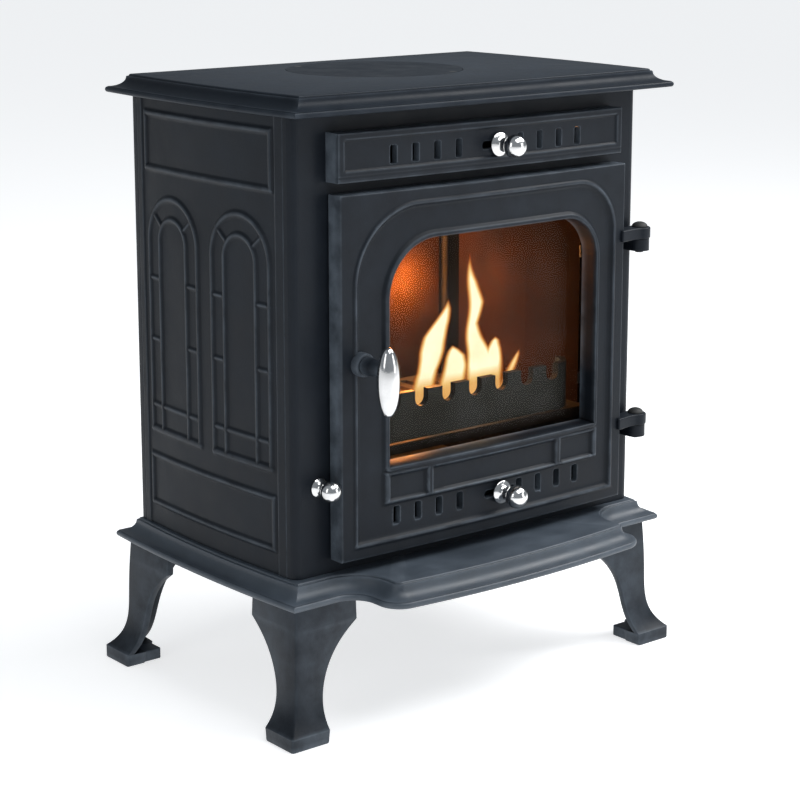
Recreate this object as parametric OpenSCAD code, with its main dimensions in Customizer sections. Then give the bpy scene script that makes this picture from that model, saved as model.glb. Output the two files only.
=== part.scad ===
// Small free-standing cast-iron wood burning stove on four cabriole legs.
// +Z is up, the door faces -Y, the feet stand on z = 0 and the origin is under the middle of the
// stove's overall box. Sub-parts are drawn around the middle of the body and moved by place().

/* [Overall] */
// Height of the top plate above the floor
stove_h = 600; // [598:1:606]
// How far the ash apron reaches in front of the body's middle
front_reach = 222; // [218:1:226]
// How far the flue collar reaches behind the body's middle
rear_reach = 178; // [170:1:190]

/* [Body shell] */
// Width of the body at its corners
body_w = 430; // [428:1:434]
// Depth of the body
body_d = 266; // [264:1:270]
// Wall thickness of the castings
wall = 6; // [5:0.5:6]
// How far each side swells out at its middle
side_bow = 6.5; // [3:0.5:7]
// How far the door and the top's front edge swell out
front_bow = 5; // [3:0.5:6]
// Radius of the body's upright corners
corner_r = 9; // [5:1:10]
// Height of the raised beads on the castings
bead_h = 1.5; // [1:0.1:2]
// Width of the raised beads
bead_w = 7; // [5:0.5:8]

/* [Top and base mouldings] */
// Half width of the top plate's lip
top_half_w = 234.5; // [232:0.5:238]
// Front edge of the top plate's lip
top_front = -166; // [-168:1:-164]
// Rear edge of the top plate's lip
top_rear = 147; // [145:1:150]
// Half width of the base plate's lip
base_half_w = 235; // [233:1:237]
// Front edge of the base plate beside the apron
base_front = -158; // [-160:1:-156]
// Rear edge of the base plate
base_rear = 148; // [146:1:150]
// Underside of the base plate
base_z0 = 130; // [128:1:131]
// Height of the base plate, which carries the body
base_h = 21; // [19:1:22]
// Width of the hollow moulding
cove_w = 15; // [13:1:15]
// Layers that make up the hollow moulding
cove_steps = 6; // [4:1:8]
// Radius of the round blanking plate on top
blank_r = 88; // [80:1:92]

/* [Door] */
// Left edge of the door
door_x0 = -176; // [-177:1:-175]
// Right edge of the door
door_x1 = 182; // [181:1:183]
// Bottom edge of the door
door_z0 = 165; // [163:1:167]
// Top edge of the door
door_z1 = 508; // [506:1:510]
// How far the door's edge stands in front of the body
door_proud = 20; // [19:0.5:21]
// Left edge of the window
win_x0 = -121; // [-123:1:-119]
// Right edge of the window
win_x1 = 141; // [139:1:143]
// Bottom edge of the window
win_z0 = 249; // [247:1:251]
// Top edge of the window
win_z1 = 460; // [456:1:462]
// Radius of the window's left and right shoulders
win_r = [54, 42]; // [30:1:60]
// Pitch of the air slots in the door and the air-wash panel
slot_pitch = 25.5; // [25:0.1:26]
// Width and height of one air slot
slot_size = [8, 18]; // [6:1:20]
// Travel of each air slider to either side
slider_travel = 12; // [8:1:12]

/* [Hinge, handle and knobs] */
// Distance of the hinge pins right of the middle
hinge_x = 211; // [210:1:212]
// Distance of the hinge pins in front of the middle
hinge_y = -146; // [-147:1:-145]
// Heights at which a door lug rests on its knuckle
hinge_z = [428.6, 234.6]; // [230:0.1:434]
// Radius of the hinge pins
pin_r = 4; // [3.5:0.5:4.5]
// Distance of the handle shaft left of the middle
handle_left = 154; // [153:0.5:154.5]
// Height of the handle shaft
handle_z = 351.5; // [330:0.5:370]
// Length of the handle grip
grip_len = 65; // [60:1:70]
// Largest radius of the handle grip
grip_r = 10.7; // [10:0.1:12]
// Distance of the riddling rod left of the middle
riddle_left = 188; // [186:0.5:190]
// Height of the riddling rod
riddle_z = 236; // [235:0.5:236]
// Travel of the riddling rod
riddle_travel = 30; // [10:1:30]

/* [Legs] */
// Outer corner of the legs right of the middle
leg_x = 225; // [223:1:227]
// Outer corner of the front legs in front of the middle
leg_front = 147; // [145:1:149]
// Outer corner of the rear legs behind the middle
leg_rear = 138; // [136:1:140]
// Length of a leg's wing at the top
leg_wing = 70; // [60:1:72]
// How far the toe flares out
toe_flare = 20.5; // [15:0.5:22]
// Wall thickness of a leg
leg_wall = 8; // [7:1:9]

/* [Firebox] */
// Thickness of the firebricks
brick_t = 25; // [20:1:25]
// Top of the side and rear firebricks
brick_top = 446; // [430:1:450]
// Top of the grate's frame
grate_frame_z = 252; // [250:1:252]
// Height of the log retainer's teeth tips
retainer_z1 = 308; // [300:1:312]
// Inside radius of the flue collar
flue_r = 63; // [60:0.5:65]
// Height of the flue collar's axis
flue_z = 504; // [500:1:506]

/* [Hidden] */
$fn = 96;

iron = [0.16, 0.17, 0.19];
dark_iron = [0.1, 0.1, 0.11];
chrome = [0.85, 0.86, 0.88];
steel = [0.55, 0.56, 0.58];
brick_colour = [0.78, 0.7, 0.56];
rope_colour = [0.72, 0.72, 0.68];
glass_colour = [0.6, 0.5, 0.4, 0.35];

body_y = (front_reach - rear_reach) / 2;
body_z0 = base_z0 + base_h;
body_top = stove_h - 18;
front_y = -body_d / 2;
back_y = body_d / 2;
seam_front = front_y + 11.5;
seam_back = back_y - 13;
inner_x = body_w / 2 - wall - bead_h;
handle_x = -handle_left;
riddle_x = -riddle_left;
fit_gap = 0.08;
lift_gap = 0.3;

// door planes
door_back = front_y - 2.5;
door_edge_y = front_y - door_proud;
door_pocket_y = door_edge_y + wall;
door_cx = (door_x0 + door_x1) / 2;
door_rim = 14;
glass_front = door_back + 1.5;
glass_t = 4;
window_wall = 20;
glass_cover = 9;
panel_z = [213, 242];
slot_z = 200;
knob_slot = [40, 8];
knob_x = 16;

// air-wash panel planes
vent_half_w = 177;
vent_z = [519, 564];
vent_edge_y = front_y - 19;
vent_pocket_y = vent_edge_y + wall;
vent_slot_z = 541;
vent_knob_x = 10;

// ash pan and grate
pan_z = [185, 229];
pan_half_w = 118;
pan_y = [-108, 88];
frame_t = 10;
grate_half_w = 126;
grate_y = [-66, 94];
grate_floor = grate_frame_z - 6;
retainer_half_w = 135;
retainer_x = 9;
retainer_y = -126.5;

function arc(cx, cy, r, a0, a1, n = 8) =
    [for (i = [0:n]) let (a = a0 + (a1 - a0) * i / n) [cx + r * cos(a), cy + r * sin(a)]];
function mirrored(pts) = [for (i = [len(pts) - 1:-1:0]) [-pts[i][0], pts[i][1]]];
function side_x(y) = body_w / 2 + side_bow * (1 - pow(y / back_y, 2));

// right half of the body's plan, inset by t, from front to back
function body_half(t, r) = concat(
    r > t ? arc(side_x(back_y - r) - r, front_y + r, r - t, -90, 0, 6) : [],
    [for (i = r > t ? [1:11] : [0:12]) let (y = (back_y - max(r, t)) * (i / 6 - 1)) [side_x(y) - t, y]],
    r > t ? arc(side_x(back_y - r) - r, back_y - r, r - t, 0, 90, 6) : []);
module body_plan(t, r = 0) {
    half = body_half(t, r);
    polygon(concat(half, mirrored(half)));
}
module body_ring(t0, t1, z0, z1) {
    translate([0, 0, z0]) linear_extrude(z1 - z0) difference() {
        body_plan(t0, corner_r);
        body_plan(t1);
    }
}

// Moves a sub-part from the body's middle to the middle of the overall box
module place() {
    translate([0, body_y, 0]) children();
}
module block(p0, p1) {
    translate(p0) cube(p1 - p0);
}
// Extrudes a drawing in X and Z forwards, from y_back towards -Y
module on_front(y_back, depth) {
    translate([0, y_back, 0]) rotate([90, 0, 0]) linear_extrude(depth) children();
}
// Extrudes a drawing in Y and Z along X, starting at x0
module on_side(x0, depth) {
    translate([x0, 0, 0]) rotate([90, 0, 90]) linear_extrude(depth) children();
}
module rod_y(x, z, r, y0, y1) {
    translate([x, y1, z]) rotate([90, 0, 0]) cylinder(r = r, h = y1 - y0);
}
module rect(x0, z0, x1, z1) {
    translate([x0, z0]) square([x1 - x0, z1 - z0]);
}
module frame2d(x0, z0, x1, z1, w) {
    difference() {
        rect(x0, z0, x1, z1);
        rect(x0 + w, z0 + w, x1 - w, z1 - w);
    }
}
// Solid with a bowed front face: edge_y at its ends, bow further out at its middle
module bowed_slab(x0, x1, edge_y, bow, back, z0, z1) {
    n = 14;
    cx = (x0 + x1) / 2;
    hw = (x1 - x0) / 2;
    face = [for (i = [0:n]) let (t = -1 + 2 * i / n) [cx + hw * t, edge_y - bow * (1 - t * t)]];
    translate([0, 0, z0]) linear_extrude(z1 - z0) polygon(concat(face, [[x1, back], [x0, back]]));
}

// --- top and base plates ---

// Point t = -1..1 along a side edge between y0 and y1
function bowed_edge(w, y0, y1, t) = [w + side_bow * (1 - t * t), (y0 + y1) / 2 + t * (y1 - y0) / 2];
function top_outline(inset) = let (
    w = top_half_w - inset,
    y0 = top_front + inset,
    y1 = top_rear - inset,
    half = concat(
        [for (i = [0:6]) let (t = i / 6) [w * t, y0 - front_bow * (1 - t * t)]],
        [for (i = [1:11]) bowed_edge(w, y0, y1, i / 6 - 1)],
        [[w, y1], [0, y1]])
) concat(half, mirrored([for (i = [1:len(half) - 2]) half[i]]));

// The base's front edge runs through a hollow curve into the apron at each end
function base_outline(inset) = let (
    w = base_half_w - inset,
    y0 = base_front + inset,
    y1 = base_rear - inset,
    half = concat(
        [for (i = [0:5]) let (t = i / 6) [138 * t, inset - front_reach + 8 * t * t]],
        arc(138, 32 - front_reach, 24 - inset, -90, 0),
        arc(184, base_front - 22, 22 + inset, 180, 90),
        [for (i = [0:12]) bowed_edge(w, y0, y1, i / 6 - 1)],
        [[0, y1]])
) concat(half, mirrored([for (i = [1:len(half) - 2]) half[i]]));

// Lip, hollow and small step: every layer starts at z0 and a smaller one rises higher
module moulded(outline, z0, z1, lip_h) {
    step_h = 3;
    layer = (z1 - step_h - z0 - lip_h) / cove_steps;
    translate([0, 0, z0]) {
        linear_extrude(lip_h) polygon(outline(0));
        for (i = [1:cove_steps]) let (inset = cove_w * sin(acos(1 - (i - 0.5) / cove_steps)))
            linear_extrude(lip_h + i * layer) polygon(outline(inset));
        linear_extrude(z1 - z0) polygon(outline(cove_w + 3));
    }
}

blank_y = 20;
blank_t = 6;
screw_turn = 120;
tie_xy = [170, 112];
module at_ties() {
    for (sx = [-1, 1], sy = [-1, 1]) translate([sx * tie_xy[0], sy * tie_xy[1], 0]) children();
}
module at_blank_screws() {
    for (s = [0, 180])
        translate([0, blank_y, 0]) rotate(screw_turn + s) translate([blank_r - 5, 0, 0]) children();
}
module top_plate() place() color(iron) difference() {
    union() {
        difference() {
            moulded(function(i) top_outline(i), body_top, stove_h, 5.5);
            translate([0, 0, body_top - 1]) linear_extrude(stove_h - 10 - body_top + 1) body_plan(wall + 3);
        }
        at_ties() translate([0, 0, body_top]) cylinder(r = 9, h = 10);
    }
    translate([0, blank_y, body_top - 1]) cylinder(r = blank_r - 9, h = 30);
    translate([0, blank_y, stove_h - blank_t]) cylinder(r = blank_r + lift_gap, h = blank_t + 1);
    at_ties() translate([0, 0, body_top - 1]) cylinder(r = 4, h = 13);
    at_blank_screws() translate([0, 0, stove_h - blank_t - 5]) cylinder(r = 2.2, h = 6);
}
module top_blanking_plate() place() color(iron) difference() {
    translate([0, blank_y, stove_h - blank_t]) cylinder(r = blank_r, h = blank_t);
    at_blank_screws() {
        translate([0, 0, stove_h - blank_t - 1]) cylinder(r = 2.2, h = 9);
        translate([0, 0, stove_h - 3]) cylinder(r = 4, h = 4);
    }
}
module blanking_plate_screws() place() color(steel) at_blank_screws() {
    translate([0, 0, stove_h - blank_t - 5]) cylinder(r = 2.2, h = blank_t + 2);
    translate([0, 0, stove_h - 3]) cylinder(r = 4, h = 3);
}
runner_x = 90;
module base_plate() place() color(iron) difference() {
    union() {
        moulded(function(i) base_outline(i), base_z0, body_z0, 6.5);
        for (s = [-1, 1])
            block([s * runner_x - 4, -110, body_z0 - 1], [s * runner_x + 4, 90, pan_z[0] - lift_gap]);
    }
    block([-150, -100, base_z0 - 1], [150, 95, body_z0 - 8]);
    at_ties() {
        translate([0, 0, base_z0 - 1]) cylinder(r = 4, h = 40);
        translate([0, 0, base_z0 - 1]) cylinder(r = 8.5, h = 9);
    }
    at_leg_bolts() translate([0, 0, base_z0 - 1]) cylinder(r = 4, h = 40);
}

// --- legs ---

bolt_inset = 29;
module at_leg_bolts() {
    for (y = [bolt_inset - leg_front, leg_rear - bolt_inset], s = [-1, 1])
        translate([s * (leg_x - bolt_inset), y, 0]) children();
}
// Distance of a wing's outer face from the leg's corner line, inwards, at height z
function leg_outer(z) = -toe_flare * (z < 13 ? 1 : pow((base_z0 - z) / (base_z0 - 13), 7))
    - 2.5 * sin(180 * min(1, max(0, (z - 13) / (base_z0 - 13))));
// Length of a wing at height z
function leg_inner(z) = let (k = min(1, z / 106)) 22 + (leg_wing - 22) * (0.25 * k + 0.75 * pow(k, 4.2));
leg_z = [0, 13, 16, 20, 25, 32, 42, 54, 68, 80, 90, 98, 106, base_z0];
module leg_profile(t) {
    up = [for (z = leg_z) [leg_outer(z) + t, z]];
    down = [for (i = [len(leg_z) - 1:-1:0]) [leg_inner(leg_z[i]), leg_z[i]]];
    polygon(concat(up, down));
}
module leg_quarter(t) {
    intersection() {
        on_side(-40, 160) leg_profile(t);
        mirror([1, -1, 0]) on_side(-40, 160) leg_profile(t);
    }
}
module leg() color(iron) difference() {
    union() {
        difference() {
            leg_quarter(0);
            difference() {
                leg_quarter(leg_wall);
                block([-40, -40, -1], [120, 120, 12]);
            }
        }
        block([leg_wall - 1, leg_wall - 1, base_z0 - 8], [47, 47, base_z0]);
    }
    translate([bolt_inset, bolt_inset, base_z0 - 20]) cylinder(r = 4, h = 40);
}
module front_left_leg() place() translate([-leg_x, -leg_front, 0]) leg();
module front_right_leg() place() translate([leg_x, -leg_front, 0]) mirror([1, 0, 0]) leg();
module rear_left_leg() place() translate([-leg_x, leg_rear, 0]) mirror([0, 1, 0]) leg();
module rear_right_leg() place() translate([leg_x, leg_rear, 0]) rotate(180) leg();
module leg_bolts() place() color(steel) at_leg_bolts() {
    translate([0, 0, base_z0 - 14]) cylinder(r = 7.5, h = 6, $fn = 6);
    translate([0, 0, base_z0 - 8]) cylinder(r = 4, h = 40);
}
module leg_nuts() place() color(steel) at_leg_bolts() difference() {
    translate([0, 0, body_z0]) cylinder(r = 7.5, h = 6.5, $fn = 6);
    translate([0, 0, body_z0 - 1]) cylinder(r = 4, h = 9);
}
module tie_rods() place() color(steel) at_ties()
    translate([0, 0, base_z0 + 1]) cylinder(r = 4, h = body_top + 11 - base_z0 - 1);
module tie_rod_nuts() place() color(steel) at_ties() difference() {
    translate([0, 0, base_z0 + 1.5]) cylinder(r = 7.5, h = 6.5, $fn = 6);
    translate([0, 0, base_z0]) cylinder(r = 4, h = 9);
}

// --- body shell ---

arch_y = 56;
arch_z = 441;
arch_outer = 47.5;
arch_inner = 27.5;
arch_foot = 248;
module arch2d(r) {
    translate([0, arch_z]) circle(r = r);
    rect(-r, arch_foot, r, arch_z);
}
module arch_bead(r) {
    difference() {
        arch2d(r);
        arch2d(r - bead_w);
    }
}
// One arched window: two nested beads, glazing bars and a sill
module arched_window() {
    arch_bead(arch_outer);
    arch_bead(arch_inner);
    rect(-arch_outer, arch_foot, arch_outer, arch_foot + bead_w);
    rect(-arch_outer, 274, arch_outer, 279);
    for (s = [-1, 1]) {
        for (z = [341, 402]) translate([s * (arch_outer + arch_inner - 1) / 2, z])
            square([arch_outer - arch_inner + 1, 4], center = true);
        translate([0, arch_z]) rotate(90 - s * 52) rect(arch_inner - 1, -2, arch_outer - 1, 2);
    }
}
module side_relief2d() {
    for (s = [-1, 1]) translate([s * arch_y, 0]) arched_window();
    frame2d(-107, 508, 107, 569, bead_w);
    frame2d(-107, 171, 107, 228, bead_w);
    rect(seam_front, body_z0, -109, body_top);
    rect(111, body_z0, seam_back, body_top);
}
module side_wall(s) color(iron) {
    intersection() {
        body_ring(bead_h, wall + bead_h, body_z0, body_top);
        block([s > 0 ? 0 : -body_w, seam_front, 0], [s > 0 ? body_w : 0, seam_back, stove_h]);
    }
    intersection() {
        body_ring(0, bead_h + 1, body_z0, body_top);
        on_side(s > 0 ? 100 : -300, 200) side_relief2d();
    }
    // ledge that carries the grate frame, and the lug under the baffle's front
    mirror([s > 0 ? 0 : 1, 0, 0]) {
        block([196, -95, 234], [inner_x + 8, 95, grate_frame_z - frame_t]);
        block([156, -46, 484], [inner_x + 8, -34, 493]);
    }
}
module left_side_panel() place() side_wall(-1);
module right_side_panel() place() side_wall(1);

open_x = [-165, 165];
open_z = [183, 492];
module hinge_eye(z0, z1, r) {
    translate([hinge_x, hinge_y, z0]) cylinder(r = r, h = z1 - z0);
}
module front_plate() place() color(iron) difference() {
    union() {
        intersection() {
            body_ring(0, wall, body_z0, body_top);
            block([-body_w, front_y - 1, 0], [body_w, seam_front, stove_h]);
        }
        for (z = hinge_z) {
            hinge_eye(z - 12, z, 10);
            block([hinge_x - 10, hinge_y, z - 12], [hinge_x + 6, front_y + 3, z]);
        }
    }
    block([open_x[0], front_y - 1, open_z[0]], [open_x[1], front_y + wall + 1, open_z[1]]);
    block([-130, front_y - 1, 531], [130, front_y + wall + 1, 551]);
    for (z = hinge_z) hinge_eye(z - 13, z + 1, pin_r);
    rod_y(riddle_x, riddle_z, 3.5 + fit_gap, front_y - 1, front_y + 20);
    at_vent_screws(1.7, front_y - 5, front_y + 20);
}
flue_hole_r = flue_r - 5;
collar_bolt = 62;
module at_collar_bolts(r, y0, y1) {
    for (sx = [-1, 1], sz = [-1, 1]) rod_y(sx * collar_bolt, flue_z + sz * collar_bolt, r, y0, y1);
}
module back_plate() place() color(iron) difference() {
    intersection() {
        body_ring(0, wall, body_z0, body_top);
        block([-body_w, seam_back, 0], [body_w, back_y + 1, stove_h]);
    }
    rod_y(0, flue_z, flue_hole_r, back_y - 20, back_y + 1);
    at_collar_bolts(4, back_y - 20, back_y + 1);
}
module flue_collar() place() color(iron) difference() {
    union() {
        block([-74, back_y, flue_z - 74], [74, back_y + 6, flue_z + 74]);
        rod_y(0, flue_z, flue_r + wall, back_y, rear_reach);
    }
    rod_y(0, flue_z, flue_r, back_y - 1, rear_reach + 1);
    at_collar_bolts(4, back_y - 1, back_y + 10);
}
module collar_bolts() place() color(steel) for (sx = [-1, 1], sz = [-1, 1]) {
    rod_y(sx * collar_bolt, flue_z + sz * collar_bolt, 4, back_y - 5, back_y + 7);
    translate([sx * collar_bolt, back_y + 6, flue_z + sz * collar_bolt])
        rotate([-90, 0, 0]) cylinder(r = 7.5, h = 5.5, $fn = 6);
}

// --- firebox ---

module side_brick(s) color(brick_colour)
    block([s > 0 ? 203 - brick_t : -203, -94, grate_frame_z], [s > 0 ? 203 : brick_t - 203, 96, brick_top]);
module left_firebrick() place() side_brick(-1);
module right_firebrick() place() side_brick(1);
module rear_firebrick() place() color(brick_colour)
    block([-150, 122 - brick_t, grate_frame_z], [150, 122, brick_top]);
module baffle_plate() place() color(dark_iron)
    translate([-164, 120, brick_top + lift_gap]) rotate([-17, 0, 0]) block([0, -168, 0], [328, 0, 5]);
module grate_frame() place() color(dark_iron) difference() {
    block([-204, -106, grate_frame_z - frame_t], [204, 97, grate_frame_z]);
    block([-grate_half_w - 1, -98, grate_floor], [grate_half_w + 1, 95, grate_frame_z + 1]);
    block([-115, -62, 200], [115, 62, grate_frame_z]);
}
peg_xy = [-100, 30];
module grate() place() color(dark_iron) difference() {
    block([-grate_half_w, grate_y[0], grate_floor + lift_gap], [grate_half_w, grate_y[1], grate_floor + 10]);
    for (i = [-5:5], y0 = [-56, 18]) block([i * 22 - 5, y0, 240], [i * 22 + 5, y0 + 66, 270]);
    translate([peg_xy[0], peg_xy[1], 240]) cylinder(r = 4, h = 30);
}
module riddling_rod() place() color(steel) {
    rod_y(riddle_x, riddle_z, 3.5, front_y - 10, peg_xy[1] + 5);
    block([riddle_x, peg_xy[1] - 5, riddle_z - 2.5], [peg_xy[0] + 6, peg_xy[1] + 5, riddle_z + 2.5]);
    translate([peg_xy[0], peg_xy[1], riddle_z]) cylinder(r = 4, h = grate_floor + 10 - riddle_z);
}
// Turned knob along -Y from the origin: flange, neck and ball
module knob_form(flange_r, ball_r, stem) {
    rotate([90, 0, 0]) rotate_extrude() polygon(concat(
        [[0, 0], [flange_r, 0], [flange_r, 2], [flange_r * 0.75, 3.5], [flange_r * 0.5, 5],
            [flange_r * 0.45, stem]],
        arc(0, stem + ball_r * 0.8, ball_r, -52, 90, 12)));
}
module riddling_knob() place() color(chrome) difference() {
    translate([riddle_x, front_y - lift_gap, riddle_z]) knob_form(9, 10, 11);
    rod_y(riddle_x, riddle_z, 3.5, front_y - 10, front_y + 1);
}
// Toothed plate with its ends turned back onto the grate frame
module log_retainer() place() color(dark_iron) translate([retainer_x, 0, 0]) difference() {
    union() {
        block([24 - retainer_half_w, retainer_y, 261], [retainer_half_w - 24, retainer_y + 7, retainer_z1]);
        for (s = [-1, 1]) {
            intersection() {
                translate([s * (retainer_half_w - 24), retainer_y + 24, 261]) difference() {
                    cylinder(r = 24, h = retainer_z1 - 261);
                    translate([0, 0, -1]) cylinder(r = 17, h = 60);
                }
                block([s > 0 ? retainer_half_w - 24 : -retainer_half_w, retainer_y, 261],
                    [s > 0 ? retainer_half_w : 24 - retainer_half_w, retainer_y + 24, retainer_z1]);
            }
            block([s > 0 ? retainer_half_w - 7 : -retainer_half_w, -104, grate_frame_z],
                [s > 0 ? retainer_half_w : 7 - retainer_half_w, -99, retainer_z1 - 8]);
        }
    }
    for (i = [-3:3]) on_front(retainer_y + 20, 30) {
        rect(i * 34 - 8, retainer_z1 - 8, i * 34 + 8, retainer_z1 + 1);
        translate([i * 34, retainer_z1 - 8]) circle(r = 8);
    }
}
module ash_pan() place() color(steel) difference() {
    block([-pan_half_w, pan_y[0], pan_z[0]], [pan_half_w, pan_y[1], pan_z[1]]);
    block([2 - pan_half_w, pan_y[0] + 2, pan_z[0] + 2], [pan_half_w - 2, pan_y[1] - 2, pan_z[1] + 1]);
}
module ash_pan_handle() place() color(steel) {
    block([-32, pan_y[0] - 16, 205], [32, pan_y[0] - 12, 209]);
    for (s = [-1, 1]) block([s * 30 - 2, pan_y[0] - 13, 205], [s * 30 + 2, pan_y[0], 209]);
}

// --- air-wash panel above the door ---

module at_vent_screws(r, y0, y1) {
    for (s = [-1, 1]) rod_y(s * 150, vent_z[0] + 11, r, y0, y1);
}
module air_slots(cx, z) {
    for (i = [0:9]) if (i < 4 || i > 5)
        translate([cx + (i - 4.5) * slot_pitch, z]) square(slot_size, center = true);
}
module knob_slot2d(x, z) {
    for (s = [-1, 1]) translate([x + s * (knob_slot[0] - knob_slot[1]) / 2, z]) circle(d = knob_slot[1]);
    translate([x, z]) square([knob_slot[0] - knob_slot[1], knob_slot[1]], center = true);
}
module airwash_panel() place() color(iron) difference() {
    union() {
        difference() {
            bowed_slab(-vent_half_w, vent_half_w, vent_edge_y, front_bow, front_y, vent_z[0], vent_z[1]);
            block([9 - vent_half_w, vent_pocket_y, vent_z[0] + 5],
                [vent_half_w - 9, front_y + 1, vent_z[1] - 5]);
        }
        at_vent_screws(5, vent_pocket_y - 1, front_y);
    }
    at_vent_screws(1.7, front_y - 5, front_y + 1);
    on_front(front_y, 40) {
        air_slots(0, vent_slot_z);
        knob_slot2d(vent_knob_x, vent_slot_z);
    }
    intersection() {
        difference() {
            bowed_slab(-vent_half_w, vent_half_w, vent_edge_y - 1, front_bow, front_y, vent_z[0], vent_z[1]);
            bowed_slab(-vent_half_w, vent_half_w, vent_edge_y + bead_h, front_bow, front_y, 0, stove_h);
        }
        on_front(front_y, 40) rect(6 - vent_half_w, vent_z[0] + 9, vent_half_w - 6, vent_z[1] - 5);
    }
}
module airwash_panel_screws() place() color(steel) {
    at_vent_screws(1.7, front_y - 4.9, front_y + wall + 1);
    at_vent_screws(3.4, front_y + wall, front_y + wall + 2.5);
}
// Sliding plate with the same slots, and a hole for its knob's stem
module slider_plate(cx, z, y_front, knob) {
    difference() {
        on_front(y_front + 2.5, 2.5) difference() {
            translate([cx, z]) square([256, 26], center = true);
            air_slots(cx, z);
        }
        rod_y(knob, z, 3, y_front - 1, y_front + 4);
    }
}
module slider_knob(x, z, y_flange, y_plate) {
    translate([x, y_flange, z]) knob_form(11.3, 11.2, 13);
    rod_y(x, z, 3, y_flange - 1, y_plate);
}
// Clips that hold a slider against its pocket's floor
module slider_guides(cx, z, y_floor) {
    for (sx = [-1, 1], turn = [0, 180]) translate([cx + sx * 100, 0, z]) rotate([0, turn, 0]) {
        block([-8, y_floor, 13.3], [8, y_floor + 3.1, 16]);
        block([-8, y_floor + 3.1, 10], [8, y_floor + 4.6, 16]);
    }
}
module airwash_slider() place() color(dark_iron)
    slider_plate(0, vent_slot_z, vent_pocket_y + lift_gap, vent_knob_x);
module airwash_knob() place() color(chrome)
    slider_knob(vent_knob_x, vent_slot_z, vent_edge_y - front_bow - 0.3, vent_pocket_y + lift_gap + 2.5);
module airwash_guides() place() color(steel) slider_guides(0, vent_slot_z, vent_pocket_y);

// --- door ---

module shouldered(x0, z0, x1, z1, r) {
    polygon(concat(
        [[x0, z0], [x1, z0]],
        arc(x1 - r[1], z1 - r[1], r[1], 0, 90, 10),
        arc(x0 + r[0], z1 - r[0], r[0], 90, 180, 10)));
}
module window2d(grow) {
    shouldered(win_x0 - grow, win_z0 - grow, win_x1 + grow, win_z1 + grow, win_r + [grow, grow]);
}
bead_x = [-162, 169];
bead_z = [176, 497];
bead_r = [76, 54];
mullion_x = [-77, 88];
module door_relief2d() {
    difference() {
        shouldered(bead_x[0], bead_z[0], bead_x[1], bead_z[1], bead_r);
        shouldered(bead_x[0] + bead_w, bead_z[0] + bead_w, bead_x[1] - bead_w, bead_z[1] - bead_w,
            bead_r - [bead_w, bead_w]);
    }
    difference() {
        window2d(bead_w);
        window2d(0);
    }
    rect(win_x0 - bead_w, panel_z[0], win_x0, win_z0);
    rect(win_x0 - bead_w, panel_z[0] - 1, win_x1, panel_z[0] + 3);
}
module door_panels2d() {
    edges = [win_x0, mullion_x[0], mullion_x[0] + bead_w, mullion_x[1], mullion_x[1] + bead_w, win_x1];
    for (i = [0, 2, 4]) rect(edges[i], panel_z[0] + 3, edges[i + 1], panel_z[1]);
}
module door_shell(raise, z0, z1) {
    bowed_slab(door_x0, door_x1, door_edge_y - raise, front_bow, door_back, z0, z1);
}
module door_casting() place() color(iron) difference() {
    union() {
        door_shell(0, door_z0, door_z1);
        intersection() {
            door_shell(bead_h, door_z0, door_z1);
            on_front(door_pocket_y, 40) door_relief2d();
        }
        rod_y(handle_x, handle_z, 11, door_edge_y - 9, door_pocket_y);
        for (z = hinge_z) {
            hinge_eye(z + lift_gap, z + 12, 11);
            block([door_x1 - 2, hinge_y - 11, z + lift_gap], [hinge_x, door_back - 0.5, z + 12]);
        }
    }
    // back pocket, around the window's wall and the handle's boss
    difference() {
        on_front(door_back + 1, door_back - door_pocket_y + 1) difference() {
            rect(door_x0 + door_rim, door_z0 + door_rim, door_x1 - door_rim, door_z1 - door_rim);
            rect(win_x0 - window_wall, win_z0 - window_wall, win_x1 + window_wall, win_z1 + window_wall);
        }
        rod_y(handle_x, handle_z, 9, door_pocket_y - 1, door_back);
    }
    on_front(door_back + 1, 60) {
        window2d(0);
        air_slots(door_cx, slot_z);
        knob_slot2d(knob_x, slot_z);
    }
    intersection() {
        difference() {
            door_shell(5, door_z0, door_z1);
            bowed_slab(door_x0, door_x1, door_edge_y + 2, front_bow, door_back, 0, stove_h);
        }
        on_front(door_back, 60) door_panels2d();
    }
    // groove for the rope seal, bores for pins, shaft and screws
    on_front(door_back + 1, 7) rope2d();
    for (z = hinge_z) hinge_eye(z - 1, z + 13, pin_r + fit_gap);
    rod_y(handle_x, handle_z, 5 + fit_gap, door_edge_y - 20, door_back + 1);
    at_clips() rod_y(0, 0, 2, door_back - 8, door_back + 1);
}
module rope2d() {
    frame2d(door_x0 + 3, door_z0 + 3, door_x1 - 3, door_z1 - 3, 8);
}
module door_rope_seal() place() color(rope_colour)
    on_front(front_y - lift_gap, front_y - lift_gap - door_back + 6) rope2d();
module glass2d() {
    rect(win_x0 - glass_cover, win_z0 - glass_cover, win_x1 + glass_cover, win_z1 + glass_cover);
}
module glass_gasket() place() color(rope_colour)
    on_front(glass_front, glass_front - door_back) difference() {
        glass2d();
        window2d(1.5);
    }
module door_glass() place() color(glass_colour) on_front(glass_front + glass_t, glass_t) glass2d();
clip_z = [290, 420];
module at_clips() {
    for (z = clip_z) {
        translate([win_x0 - 15, 0, z]) children();
        translate([win_x1 + 15, 0, z]) children();
    }
}
module glass_clips() place() color(steel) {
    for (z = clip_z, s = [-1, 1]) {
        edge = s > 0 ? win_x1 : win_x0;
        difference() {
            union() {
                block([edge + min(s * 3, s * 19), glass_front + glass_t, z - 6],
                    [edge + max(s * 3, s * 19), glass_front + glass_t + 1.5, z + 6]);
                block([edge + min(s * 11, s * 19), door_back, z - 6],
                    [edge + max(s * 11, s * 19), glass_front + glass_t + 1.5, z + 6]);
            }
            rod_y(edge + s * 15, z, 2, door_back - 1, door_back + 12);
        }
    }
}
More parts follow.
